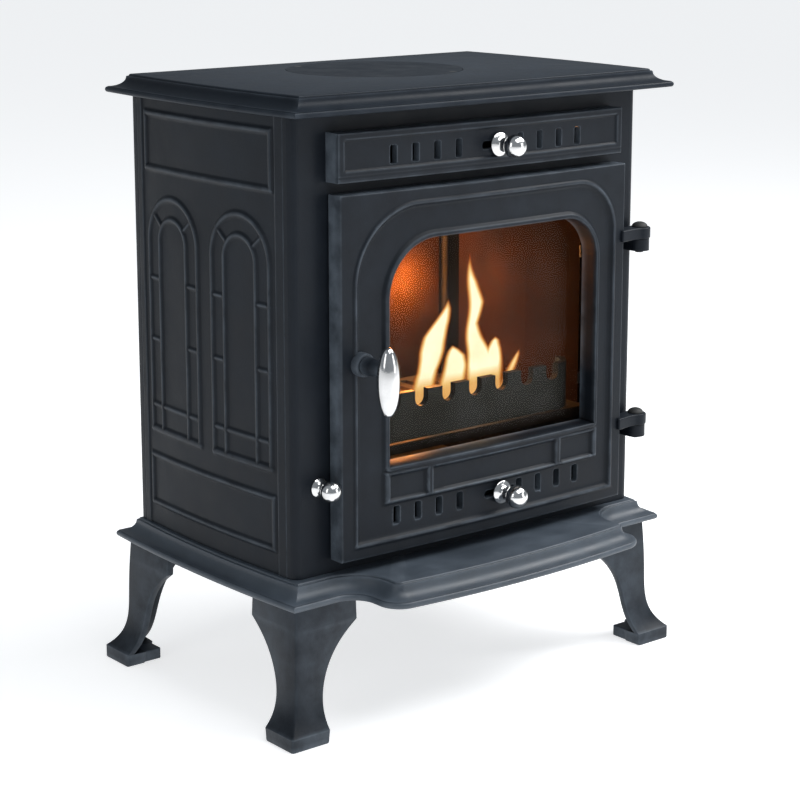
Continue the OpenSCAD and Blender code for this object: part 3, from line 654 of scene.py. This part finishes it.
def base_outline(inset):
    w, y0, y1 = BASE_W - inset, BASE_F + inset, BASE_R - inset
    half = [(APRON_HALF * t, inset - APRON + 8 * t * t) for t in np.linspace(0, 1, 41)[:-1]]
    half += arc_pts(APRON_HALF, 32 - APRON, 24 - inset, -90, 0, 17)
    half += arc_pts(184, BASE_F - 22, 22 + inset, 180, 90, 17)
    half += edge_side(w, y0, y1)
    half += edge_back(w, y1)
    return mirror_ring(half)


def at_z(ring, z):
    return [(x, y, z) for x, y in ring]


def circle_like(ring, cx, cy, r):
    """A circle with one point for each point of the ring, at the same angle from its centre."""
    out = []
    for x, y in ring:
        d = math.hypot(x - cx, y - cy)
        out.append((cx + (x - cx) * r / d, cy + (y - cy) * r / d))
    return out


def moulding(z0, z1, lip, bead_r):
    """(inset, z) points up the moulding: rounded lip, hollow, small step, flat top."""
    pts = []
    for t in np.radians(np.linspace(-80, 90, 9)):
        pts.append((bead_r - bead_r * math.cos(t), z0 + lip / 2 + lip / 2 * math.sin(t)))
    ledge = 1.6
    rise = z1 - MOULD_STEP - (z0 + lip)
    pts.append((ledge, z0 + lip + 0.15))
    for t in np.radians(np.linspace(6, 88, 14)):
        hollow_z = z0 + lip + 0.3 + (rise - 0.3) * (1 - math.cos(t))
        pts.append((ledge + (MOULD_DEPTH - ledge) * math.sin(t), hollow_z))
    for inset, above in ((0.3, 0.7), (0.9, 1.0), (1.7, 1.1)):
        pts.append((MOULD_DEPTH + inset, z1 - MOULD_STEP + above))
    round_r = 1.6
    for t in np.radians(np.linspace(0, 90, 6)):
        pts.append((MOULD_DEPTH + 2.1 + round_r * (1 - math.cos(t)), z1 - round_r + round_r * math.sin(t)))
    return pts


blank_lo, blank_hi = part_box("top_blanking_plate")
BLANK_Y = ((blank_lo.y + blank_hi.y) / 2 - MID) * 1000
BLANK_R = (blank_hi.x - blank_lo.x) * 500


def top_plate():
    """The moulded top, open in the middle with a rebate for the blanking plate."""
    z0 = STOVE_H - TOP_T
    seat, rim = BLANK_R - 9, BLANK_R + 0.3
    opening = ((seat, 10), (seat, 6), (rim, 6), (rim, 0.5), (rim + 0.5, 0))
    inner = top_outline(19.4)
    rings = [at_z(circle_like(inner, 0, BLANK_Y, r), STOVE_H - depth) for r, depth in opening]
    for inset, z in reversed(moulding(z0, STOVE_H, 5.5, 2.2)):
        rings.append(at_z(top_outline(inset), z))
    for inset, z in ((2.4, z0), (32, z0), (33, STOVE_H - 10)):
        rings.append(at_z(top_outline(inset), z))
    v, f = torus_loft(rings)
    new_piece("top_plate_casting", v, f, "stove_body", IRON_TOP_LIT, ["top_plate"], "cast_iron_shell", 28)


def base_plate():
    """The bowed base with its apron, hollow underneath, and the two runners under the ash pan."""
    inner = base_outline(24)
    rings = [at_z(circle_like(inner, 0, -20, r), BODY_Z0) for r in (60, 110)]
    for inset, z in reversed(moulding(BASE_Z0, BODY_Z0, 6.5, 2.6)):
        rings.append(at_z(base_outline(inset), z))
    rings.append(at_z(base_outline(2.8), BASE_Z0))
    under = base_outline(20)
    rings.append(at_z(under, BASE_Z0))
    half_x, half_y, mid_y = 150, 97.5, -2.5
    hollow = []
    for x, y in under:
        k = max(abs(x) / half_x, abs(y - mid_y) / half_y)
        hollow.append((x / k, mid_y + (y - mid_y) / k))
    rings.append(at_z(hollow, BASE_Z0))
    rings.append(at_z(hollow, BODY_Z0 - 8))
    v, f = loft(rings)
    new_piece("base_plate_casting", v, f, "stove_body", IRON_BASE_LIT, ["base_plate"], "cast_iron_shell", 28)
    runner_x = 90
    feet = [rect(s * runner_x - 4, -110, s * runner_x + 4, 90) for s in (-1, 1)]
    v, f = merge([prism_z(foot, BODY_Z0 - 1, 184.7) for foot in feet])
    runners = new_piece("base_plate_runners", v, f, "stove_body", SOOTY, [], "cast_iron_shell")
    bevel(runners, 1.0, 2)


top_plate()
base_plate()


# ---------------------------------------------------------------- legs
LEG_X, LEG_F, LEG_R = 225.0, -147.0, 138.0
TOE, WING, LEG_T = 20.5, 70.0, 8.0
FOOT_H = 13                             # the foot is solid below this height
SOLE_R = 1.3


def leg_outer(z):
    """Offset of the outer faces from the leg's corner: the knee, the long hollow and the toe."""
    if z < FOOT_H:
        return -TOE
    shank = BASE_Z0 - FOOT_H
    return -TOE * ((BASE_Z0 - z) / shank) ** 7 - 2.5 * math.sin(math.pi * (z - FOOT_H) / shank)


def leg_inner(z):
    """Offset of the inner ends of the two wings."""
    k = min(1, z / 106)
    return 22 + (WING - 22) * (0.25 * k + 0.75 * k ** 4.2)


def leg_section(z):
    """Outline at height z: an L of two wings, as thick as the foot is deep where that is solid."""
    o, i = leg_outer(z), leg_inner(z)
    if z < SOLE_R:
        shrink = SOLE_R - math.sqrt(SOLE_R ** 2 - (SOLE_R - z) ** 2)
        o += shrink
        i -= shrink
    t = LEG_T if z > 12.5 else (i - o) / 2
    e, r = 1.6, 2.6
    wing = [(i - e, o), (i - e * 0.3, o + e * 0.3), (i, o + e),
            (i, o + t - e), (i - e * 0.3, o + t - e * 0.3), (i - e, o + t)]
    fillet = [(o + t + 4, o + t), (o + t + 1.2, o + t + 1.2), (o + t, o + t + 4)]
    corner = [(o + r - r * math.sin(a), o + r - r * math.cos(a)) for a in np.linspace(math.pi / 2, 0, 6)]
    return wing + fillet + [(y, x) for x, y in reversed(wing)] + corner


def leg(name, cx, cy, sx, sy):
    """A leg whose corner is at cx, cy; sx and sy point from there towards the stove's middle."""
    foot = [0, 0.5, 1.4, 6.5, 12.2, 13.0, 14.0, 15.5, 17.5, 20]
    rings = []
    for z in foot + list(np.arange(23, BASE_Z0 - 0.1, 3.2)) + [BASE_Z0]:
        rings.append([(cx + sx * x, cy + sy * y, z) for x, y in leg_section(z)])
    v, f = loft(rings)
    new_piece(name + "_casting", v, f, "stove_body", IRON, [name], "cast_iron_shell", 40)

    def square(a, b, z0, z1):
        return prism_z(rect(cx + sx * a, cy + sy * a, cx + sx * b, cy + sy * b), z0, z1)

    flange = square(7, 47, BASE_Z0 - 8, BASE_Z0)
    pad = square(leg_outer(0) + 1.5, leg_inner(0) - 1.5, 0.2, 12)
    v, f = merge([flange, pad])
    inner = new_piece(name + "_flange", v, f, "stove_body", IRON, [], "cast_iron_shell", 40)
    bevel(inner, 1.2, 2)


leg("front_left_leg", -LEG_X, LEG_F, 1, 1)
leg("front_right_leg", LEG_X, LEG_F, -1, 1)
leg("rear_left_leg", -LEG_X, LEG_R, 1, -1)
leg("rear_right_leg", LEG_X, LEG_R, -1, -1)


# ---------------------------------------------------------------- door
d_lo, d_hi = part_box("door_casting")
DOOR_X0, DOOR_Z0, DOOR_Z1 = d_lo.x * 1000, d_lo.z * 1000, d_hi.z * 1000
DOOR_X1 = 182.0
# the door's front where it isn't bowed, its back, and the floor of the pocket behind it
DOOR_EDGE = FRONT_Y - 20
DOOR_BACK = FRONT_Y - 2.5
POCKET = DOOR_EDGE + 6
# x0, z0, x1, z1 of the window and of the bead round the sunk field, and the radii of their upper corners
WINDOW = (-121.0, 249.0, 141.0, 460.0)
WINDOW_R = (54.0, 42.0)
BEAD = (-162.0, 176.0, 169.0, 497.0)
BEAD_R = (76.0, 54.0)
MULLIONS = (-73.5, 91.5)
SLOT_Z, SLOT_PITCH, SLOT_PLACES = 200.0, 25.5, 10
SLOT_HALF_W, SLOT_HALF_H = 4, 9
LONG_SLOT_HALF = 20
FIELD_H = -2.4                            # the sunk field's height, from the door's margin
FRAME_H = 1.2                           # and the height of the frame round the window
DOOR_CX = (DOOR_X0 + DOOR_X1) / 2
handle_lo, handle_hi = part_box("handle_shaft")
HANDLE_X = (handle_lo.x + handle_hi.x) * 500
HANDLE_Z = (handle_lo.z + handle_hi.z) * 500
k_lo, k_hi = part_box("door_air_knob")
DOOR_KNOB_X = (k_lo.x + k_hi.x) * 500


def door_bow(x):
    return FRONT_BOW * (1 - ((x - DOOR_CX) / ((DOOR_X1 - DOOR_X0) / 2)) ** 2)


def door_relief(x, z):
    """Height of the door's front: margin, sunk field, window frame and the three sunk panels below it."""
    outer = shouldered_dist(x, z, *BEAD, *BEAD_R)
    h = FIELD_H * smooth01(-(outer + 2.5) / 5.5) + bead(outer + 2.0, 2.8, 1.5, 0.3)
    win = shouldered_dist(x, z, *WINDOW, *WINDOW_R)
    apron = box_dist(x, z, WINDOW[0] - 8, 211, WINDOW[2] + 8, WINDOW[1] - 3)
    frame_d = np.minimum(win - 8, apron)
    h = np.where(frame_d < 0, FIELD_H + (FRAME_H - FIELD_H) * smooth01(-frame_d / 4.0), h)
    half = 3.5
    starts = (WINDOW[0], MULLIONS[0] + half, MULLIONS[1] + half)
    stops = (MULLIONS[0] - half, MULLIONS[1] - half, WINDOW[2])
    for x0, x1 in zip(starts, stops):
        d = box_dist(x, z, x0 - 1, 214.5, x1 + 1, 241.5)
        h = np.where(d < 0, FRAME_H + (FIELD_H - FRAME_H) * smooth01(-d / 3.5), h)
    return h


def ring_radius(poly, centre, angles):
    """Distance from the centre to a closed outline along each angle."""
    p = np.array(poly) - centre
    q = np.roll(p, -1, 0)
    out = np.zeros(len(angles))
    for k, a in enumerate(angles):
        d = np.array([math.cos(a), math.sin(a)])
        e = q - p
        den = d[0] * e[:, 1] - d[1] * e[:, 0]
        with np.errstate(divide="ignore", invalid="ignore"):
            t = (p[:, 0] * e[:, 1] - p[:, 1] * e[:, 0]) / den
            u = (p[:, 0] * d[1] - p[:, 1] * d[0]) / den
        ok = (np.abs(den) > 1e-12) & (t > 0) & (u >= -1e-9) & (u <= 1 + 1e-9)
        out[k] = t[ok].max()
    return out


def window_outline(grow):
    x0, z0, x1, z1 = WINDOW[0] - grow, WINDOW[1] - grow, WINDOW[2] + grow, WINDOW[3] + grow
    pts = [(x0, z0), (x1, z0)]
    left_r, right_r = WINDOW_R[0] + grow, WINDOW_R[1] + grow
    pts += arc_pts(x1 - right_r, z1 - right_r, right_r, 0, 90, 48)
    pts += arc_pts(x0 + left_r, z1 - left_r, left_r, 90, 180, 48)
    return pts


def door_rect(inset):
    return rect(DOOR_X0 + inset, DOOR_Z0 + inset, DOOR_X1 - inset, DOOR_Z1 - inset)


def door_rings():
    """Rings round the window: out across the front, over the edge, in across the back and up the reveal."""
    centre = np.array([(WINDOW[0] + WINDOW[2]) / 2, (WINDOW[1] + WINDOW[3]) / 2])
    corners = door_rect(0) + [(WINDOW[0], WINDOW[1]), (WINDOW[2], WINDOW[1])]
    corner_angles = [math.atan2(z - centre[1], x - centre[0]) % (2 * math.pi) for x, z in corners]
    angles = np.linspace(0, 2 * math.pi, 1040, endpoint=False)
    angles = np.array([a for a in angles if min(abs(a - s) for s in corner_angles) > 0.002] + corner_angles)
    angles.sort()
    cos_a, sin_a = np.cos(angles), np.sin(angles)
    window_r = ring_radius(window_outline(0.8), centre, angles)
    reveal_r = ring_radius(window_outline(0.0), centre, angles)
    edge_r = ring_radius(door_rect(0), centre, angles)

    def flat_ring(r, y):
        x, z = centre[0] + r * cos_a, centre[1] + r * sin_a
        return np.stack([x, np.full_like(x, y), z], -1)

    def front_ring(r, drop):
        x, z = centre[0] + r * cos_a, centre[1] + r * sin_a
        return np.stack([x, DOOR_EDGE - door_bow(x) - door_relief(x, z) + drop, z], -1)

    # extra rings close to the window and to the edge, for their rounding
    ends = [0.0, 0.25, 0.7, 1.4]
    lo, hi = window_r + ends[-1], edge_r - ends[-1]
    radii = [window_r + e for e in ends]
    radii += [lo + (hi - lo) * t for t in np.linspace(0, 1, 62)[1:-1]]
    radii += [edge_r - e for e in reversed(ends)]
    rings = []
    for k, r in enumerate(radii):
        border = min(k, len(radii) - 1 - k, len(ends) - 1)
        rings.append(front_ring(r, edge_drop(ends[border], ends[-1])))
    front, back = rings[0], flat_ring(reveal_r, DOOR_BACK)
    rings += [flat_ring(edge_r, DOOR_BACK), back]
    rings += [back + (front - back) * t for t in (0.25, 0.5, 0.75)]
    return rings


def air_slots(centre_x, centre_z, knob_x, y0, y1):
    """Cutters for a row of upright slots, four each side, and for the long slot that the knob slides in."""
    cutters = []
    for i in range(SLOT_PLACES):
        if i in (SLOT_PLACES / 2 - 1, SLOT_PLACES / 2):
            continue
        x = centre_x + (i - (SLOT_PLACES - 1) / 2) * SLOT_PITCH
        z0, z1 = centre_z - SLOT_HALF_H, centre_z + SLOT_HALF_H
        slot = rounded_rect(x - SLOT_HALF_W, z0, x + SLOT_HALF_W, z1, 2.2)
        cutters.append(prism_y(slot, y0, y1))
    x0, x1 = knob_x - LONG_SLOT_HALF, knob_x + LONG_SLOT_HALF
    cutters.append(prism_y(rounded_rect(x0, centre_z - SLOT_HALF_W, x1, centre_z + SLOT_HALF_W, 3.9), y0, y1))
    return merge(cutters)


def door_casting():
    v, f = torus_loft(door_rings())
    ob = new_piece("door_casting_front", v, f, None, IRON, smooth=45)
    # the pocket behind the door, all round the window, and the groove for the rope
    wall = 20
    window_wall = rect(WINDOW[0] - wall, WINDOW[1] - wall, WINDOW[2] + wall, WINDOW[3] + wall)
    cutters = []
    for outer, inner, y in ((door_rect(14), window_wall, POCKET),
                            (door_rect(3), door_rect(11), DOOR_BACK - 6)):
        behind = DOOR_BACK + 5
        edges = ((outer, y), (outer, behind), (inner, behind), (inner, y))
        cutters.append(torus_loft([[(x, depth, z) for x, z in edge] for edge, depth in edges]))
    cut_away(ob, "cut_back", merge(cutters))
    cut_away(ob, "cut_slots", air_slots(DOOR_CX, SLOT_Z, DOOR_KNOB_X, POCKET + 0.5, DOOR_EDGE - 12))
    finish_mesh(ob, IRON, 45)
    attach(ob, "door")
    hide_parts("door_casting")


door_casting()

# handle boss, through the door
BOSS = [(9, 0), (9.0, 12), (11, 12.01), (11.4, 18), (11.2, 24.5), (10.2, 26.2), (8.5, 26.5)]
turned("door_handle_boss", BOSS, (HANDLE_X, DOOR_BACK, HANDLE_Z), (0, -1, 0), "door", IRON,
       slot="cast_iron_shell")

# hinge lugs
p_lo, p_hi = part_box("hinge_pins")
HINGE_X = (p_lo.x + p_hi.x) * 500
HINGE_Y = ((p_lo.y + p_hi.y) / 2 - MID) * 1000
# a lug's underside, below the upper pin's top and above the lower pin's foot
PIN_TOP, PIN_FOOT = 17.1, 14
for i, z in enumerate((p_hi.z * 1000 - PIN_TOP, p_lo.z * 1000 + PIN_FOOT)):
    outline = [(DOOR_X1 - 5, HINGE_Y - 11), (DOOR_X1 + 2, HINGE_Y - 10.2),
               (HINGE_X - 14, HINGE_Y - 8.2), (HINGE_X - 9, HINGE_Y - 8.6)]
    outline += arc_pts(HINGE_X, HINGE_Y, 11, -125, 100, 22)
    outline += [(HINGE_X - 12, HINGE_Y + 8.2), (DOOR_X1 - 5, HINGE_Y + 9.5)]
    v, f = prism_z(outline, z + 0.3, z + 12)
    ob = new_piece(f"door_hinge_lug_{i}", v, f, "door", IRON_PLAIN, [], "cast_iron_shell")
    bevel(ob, 1.6, 3)


# ---------------------------------------------------------------- air-wash panel
v_lo, v_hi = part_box("airwash_panel")
VENT_Z0, VENT_Z1 = v_lo.z * 1000, v_hi.z * 1000
VENT_HALF = v_hi.x * 1000
VENT_EDGE = FRONT_Y - 19
VENT_Z = 541.0
vk_lo, vk_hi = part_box("airwash_knob")
VENT_KNOB_X = (vk_lo.x + vk_hi.x) * 500


def vent_panel():
    xs = graded(-VENT_HALF, VENT_HALF, 1.2)
    zs = graded(VENT_Z0, VENT_Z1, 0.9)
    X, Z = np.meshgrid(xs, zs, indexing="ij")
    field = box_dist(X, Z, 6 - VENT_HALF, VENT_Z0 + 9, VENT_HALF - 6, VENT_Z1 - 5)
    h = -1.9 * smooth01(-(field + 0.5) / 2.5) + bead(Z - (VENT_Z0 + 4.6), 1.0, -0.5)
    to_border = np.minimum.reduce([X + VENT_HALF, VENT_HALF - X, Z - VENT_Z0, VENT_Z1 - Z])
    Y = VENT_EDGE - FRONT_BOW * (1 - (X / VENT_HALF) ** 2) - h + edge_drop(to_border)
    wall_y = np.full_like(xs, FRONT_Y)
    back0, back1 = (np.stack([xs, wall_y, np.full_like(xs, z)], -1) for z in (VENT_Z0, VENT_Z1))
    v, f = slab(np.stack([X, Y, Z], -1), back0, back1)
    ob = new_piece("airwash_panel_casting", v, f, None, IRON, smooth=45)
    pocket = VENT_EDGE + 6
    hollow = rect(9 - VENT_HALF, VENT_Z0 + 5, VENT_HALF - 9, VENT_Z1 - 5)
    cut_away(ob, "cut_pocket", prism_y(hollow, pocket, FRONT_Y + 5))
    cut_away(ob, "cut_vents", air_slots(0, VENT_Z, VENT_KNOB_X, pocket + 0.5, VENT_EDGE - 12))
    finish_mesh(ob, IRON, 45)
    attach(ob, "stove_body")
    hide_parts("airwash_panel")


vent_panel()


# ---------------------------------------------------------------- knobs and handle
def knob_profile(fr, br, stem, tail):
    """Tail, flange of radius fr, neck of length stem and slightly flattened ball of radius br, outwards."""
    pts = [(3.0, -tail), (3.0, -0.2), (fr - 0.6, 0.0), (fr, 0.5), (fr, 1.6), (fr - 0.8, 2.4),
           (fr * 0.72, 3.4), (fr * 0.52, 5.0), (fr * 0.44, 7.2), (fr * 0.42, stem - 1.5), (fr * 0.46, stem)]
    centre = stem + br * 0.8
    for a in np.linspace(-52, 88, 22):
        t = math.radians(a)
        flat = 1.0 if a < 0 else 0.98
        pts.append((br * math.cos(t), centre + br * math.sin(t) * flat))
    return pts


AIR_KNOB = knob_profile(11.3, 11.2, 13, 14.4)
CLEAR = 0.3                             # between a knob's flange and the plate behind it
for name, body, x, edge, z in (("door_air_knob", "door_air_control", DOOR_KNOB_X, DOOR_EDGE, SLOT_Z),
                               ("airwash_knob", "airwash_control", VENT_KNOB_X, VENT_EDGE, VENT_Z)):
    turned(name + "_turned", AIR_KNOB, (x, edge - FRONT_BOW - CLEAR, z), (0, -1, 0), body, CHROME, [name],
           "polished_chrome")

RIDDLE_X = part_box("riddling_rod")[0].x * 1000 + 3.5
kr_lo, kr_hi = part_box("riddling_knob")
RIDDLE_Z = (kr_lo.z + kr_hi.z) * 500
RIDDLE_KNOB = knob_profile(9, 10, 11, -0.2)
turned("riddling_knob_turned", RIDDLE_KNOB, (RIDDLE_X, FRONT_Y - CLEAR, RIDDLE_Z), (0, -1, 0),
       "riddling_gear", CHROME, ["riddling_knob"], "polished_chrome")

g_lo, g_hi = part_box("handle_grip")
GRIP_AT = (g_lo.x + g_hi.x) * 500, ((g_lo.y + g_hi.y) / 2 - MID) * 1000, (g_lo.z + g_hi.z) * 500
GRIP_R, GRIP_HALF = (g_hi.x - g_lo.x) * 500, (g_hi.z - g_lo.z) * 500
tips = math.pi / 2 - 0.03
GRIP = [(max(0.05, GRIP_R * math.cos(a) ** 0.92), GRIP_HALF * math.sin(a))
        for a in np.linspace(-tips, tips, 60)]
turned("handle_grip_turned", GRIP, GRIP_AT, (0, 0, 1), "door_handle", CHROME, ["handle_grip"],
       "polished_chrome", seg=96, smooth=60)
SHAFT = [(5, -18), (5, 26.6), (8.0, 26.8), (8.6, 28.2), (8.6, 33), (7.8, 38), (7.2, 46), (6.8, 55.0)]
turned("handle_shaft_turned", SHAFT, (HANDLE_X, DOOR_BACK, HANDLE_Z), (0, -1, 0), "door_handle", IRON,
       ["handle_shaft"], "cast_iron_shell")


# ---------------------------------------------------------------- carried-over CAD nodes
# material, rounding of the edges in mm, and the nodes that get both
DRESSING = (
    (IRON_PLAIN, 0.9, ("front_plate", "back_plate")),
    (IRON_PLAIN, 0.8, ("flue_collar",)),
    (TOP_PLAIN_LIT, 0.5, ("top_blanking_plate",)),
    (RETAINER, 1.0, ("log_retainer",)),
    (SOOTY, 0.8, ("baffle_plate", "grate_frame", "grate")),
    (SOOTY, 0.3, ("blanking_plate_screws", "hinge_pins")),
    (SOOTY, 0.0, ("tie_rods",)),
    (SLIDE_SHADED, 0.3, ("airwash_slider", "door_air_slider")),
    (STEEL, 0.5, ("leg_bolts", "leg_nuts", "tie_rod_nuts", "collar_bolts")),
    (STEEL, 0.4, ("riddling_rod", "latch_cam", "latch_nut")),
    (STEEL, 0.3, ("airwash_panel_screws", "airwash_guides", "door_slider_guides", "glass_clips",
                  "glass_clip_screws")),
    (PAN, 0.4, ("ash_pan",)),
    (PAN, 0.6, ("ash_pan_handle",)),
    (BRICK, 1.5, ("left_firebrick", "right_firebrick", "rear_firebrick")),
    (GLASS, 0.4, ("door_glass",)),
    (ROPE, 0.0, ("glass_gasket",)),
    (ROPE, 1.5, ("door_rope_seal",)),
)
for material, round_mm, names in DRESSING:
    for name in names:
        CAD[name].data.materials.clear()
        CAD[name].data.materials.append(material)
        if round_mm:
            bevel(CAD[name], round_mm, 2, 35)


# ---------------------------------------------------------------- floor, fire light, studio
def stage_floor():
    me = bpy.data.meshes.new("studio_floor")
    me.from_pydata([(x, y, 0) for x, y in rect(-40, -40, 40, 40)], [], [(0, 1, 2, 3)])
    ob = bpy.data.objects.new("studio_floor", me)
    bpy.context.scene.collection.objects.link(ob)
    mat, nt, bsdf = start_material("pale_floor")
    bsdf.inputs["Base Color"].default_value = (0.72, 0.73, 0.74, 1)
    bsdf.inputs["Emission Color"].default_value = (1, 1, 1, 1)
    bsdf.inputs["Emission Strength"].default_value = 0.66
    bsdf.inputs["Roughness"].default_value = 0.7
    me.materials.append(mat)


def area_light(name, pos, target, size, power):
    data = bpy.data.lights.new(name, "AREA")
    data.shape = "RECTANGLE"
    data.size, data.size_y = size
    data.energy = power
    ob = bpy.data.objects.new(name, data)
    ob.location = pos
    ob.rotation_euler = (Vector(target) - Vector(pos)).to_track_quat("-Z", "Y").to_euler()
    bpy.context.scene.collection.objects.link(ob)


stage_floor()
area_light("key_top", (0.3, -1.3, 2.5), (0, 0, 0.3), (1.8, 1.2), 34)
area_light("upper_right", (1.9, -0.7, 2.2), (0, -0.1, 0.2), (1.3, 1.3), 62)
area_light("front_right", (1.5, -2.4, 1.0), (0, 0, 0.35), (0.8, 1.6), 12)
area_light("left_fill", (-2.4, -0.4, 1.3), (0, 0, 0.3), (0.7, 1.6), 7)
fire = bpy.data.lights.new("fire_glow", "POINT")
fire.energy = 3.6
fire.color = (1.0, 0.36, 0.08)
fire.shadow_soft_size = 0.03
fire_ob = bpy.data.objects.new("fire_glow", fire)
fire_ob.location = (0.102, MID + 0.075, 0.362)
bpy.context.scene.collection.objects.link(fire_ob)

scene = bpy.context.scene
scene.world = scene.world or bpy.data.worlds.new("studio_world")
scene.world.use_nodes = True
wt = scene.world.node_tree
# the studio's white is seen at full strength, but lights the stove softly and slightly cool
lit = wt.nodes.get("Background")
lit.inputs[0].default_value = (0.86, 0.93, 1.0, 1)
lit.inputs[1].default_value = 0.30
seen = wt.nodes.new("ShaderNodeBackground")
seen.inputs[0].default_value = (1, 1, 1, 1)
seen.inputs[1].default_value = 0.97
path = wt.nodes.new("ShaderNodeLightPath")
blend_shaders(wt, path.outputs["Is Camera Ray"], lit, seen, wt.nodes.get("World Output").inputs[0])
scene.view_settings.view_transform = "Standard"
scene.view_settings.look = "None"


# ---------------------------------------------------------------- flames: backdrop, not part of the stove
def flame_material():
    """Light that fades from clear at the flame's edge to nearly white in its core."""
    mat, nt, bsdf = start_material("flame_light")
    nt.nodes.remove(bsdf)
    core = nt.nodes.new("ShaderNodeAttribute")
    core.attribute_name = "core"
    heat = core.outputs["Fac"]
    colour = ramp(nt, heat, [(0.0, (1.0, 0.16, 0.015)), (0.25, (1.0, 0.36, 0.06)), (0.5, (1.0, 0.66, 0.24)),
                             (0.8, (1.0, 0.93, 0.66))])
    emit = nt.nodes.new("ShaderNodeEmission")
    nt.links.new(colour, emit.inputs["Color"])
    nt.links.new(map_range(nt, heat, 0.0, 0.8, 0.5, 1.9), emit.inputs["Strength"])
    clear = nt.nodes.new("ShaderNodeBsdfTransparent")
    alpha = map_range(nt, heat, 0.0, 0.38, 0.0, 1.0)
    blend_shaders(nt, alpha, clear, emit, nt.nodes["Material Output"].inputs[0])
    return mat


# each tongue of flame: (height, middle, half width) points from the fire bed to its tip
TONGUES = (
    ((245, 112, 26), (275, 111, 25), (296, 107, 20), (318, 101, 14), (334, 98, 10), (356, 101, 12.5),
     (378, 98, 9), (396, 93, 4), (410, 91, 0)),
    ((250, 122, 24), (285, 125, 18), (302, 129, 13), (312, 131, 8), (317, 131, 0)),
    ((250, 140, 15), (272, 150, 11), (284, 159, 8), (292, 165, 5), (298, 168, 0)),
    ((245, 30, 24), (272, 32, 18), (292, 37, 15), (312, 43, 18), (328, 49, 17), (342, 56, 12), (354, 61, 7),
     (366, 64, 0)),
    ((248, 66, 24), (276, 70, 21), (292, 74, 18), (303, 75, 15), (310, 73, 9), (316, 71, 0)),
)


def flames(x0, x1, z0, z1, y, mat):
    """One curved sheet whose heat is worked out from the tongues; it is clear where there is no flame."""
    xs, zs = np.arange(x0, x1 + 0.1, 1.0), np.arange(z0, z1 + 0.1, 1.0)
    X, Z = np.meshgrid(xs, zs, indexing="ij")
    heat = np.zeros_like(X)
    for k, tongue in enumerate(TONGUES):
        h, c, w = (np.array(v, float) for v in zip(*tongue))
        sway = 1.6 * np.sin(Z / 9.0 + 2 * k) * smooth01((Z - 262) / 60)
        half = np.interp(Z, h, w)
        inside = 1 - np.abs(X - np.interp(Z, h, c) - sway) / np.maximum(half, 0.01)
        tongue_heat = np.clip(inside * half / 9.0, 0, 1) * (Z < h[-1])
        heat = np.maximum(heat, tongue_heat * (0.42 + 0.58 * smooth01((Z - 268) / 30)))
    bed = 0.34 * np.clip((286 - Z) / 22, 0, 1) * smooth01((x1 - 8 - X) / 110) * smooth01((X - x0) / 12)
    heat = np.maximum(heat, bed * (0.8 + 0.2 * np.sin(X / 5.0)))
    Y = y + 0.0006 * (X - 80) ** 2
    nz = len(zs)
    faces = [(i * nz + j, (i + 1) * nz + j, (i + 1) * nz + j + 1, i * nz + j + 1)
             for i in range(len(xs) - 1) for j in range(nz - 1)]
    me = bpy.data.meshes.new("flames")
    me.from_pydata(world(np.stack([X, Y, Z], -1).reshape(-1, 3)).tolist(), [], faces)
    attr = me.attributes.new("core", "FLOAT", "POINT")
    attr.data.foreach_set("value", heat.ravel())
    me.materials.append(mat)
    me.shade_smooth()
    ob = bpy.data.objects.new("flames", me)
    bpy.context.scene.collection.objects.link(ob)


flames(-90, 176, 244, 410, -20, flame_material())


# ---------------------------------------------------------------- camera
cam = bpy.data.cameras.new("camera")
cam.sensor_width = 36
cam.lens = 2.6685 * cam.sensor_width
cam.shift_y = -0.1
cam_ob = bpy.data.objects.new("camera", cam)
az, el, dist = math.radians(-39.03), math.radians(11.756), 2.1736
target = Vector((0.0168, MID, 0.3455))
view_dir = Vector((math.sin(az) * math.cos(el), -math.cos(az) * math.cos(el), math.sin(el)))
cam_ob.location = target + view_dir * dist
cam_ob.rotation_euler = (-view_dir).to_track_quat("-Z", "Y").to_euler()
bpy.context.scene.collection.objects.link(cam_ob)
scene.camera = cam_ob
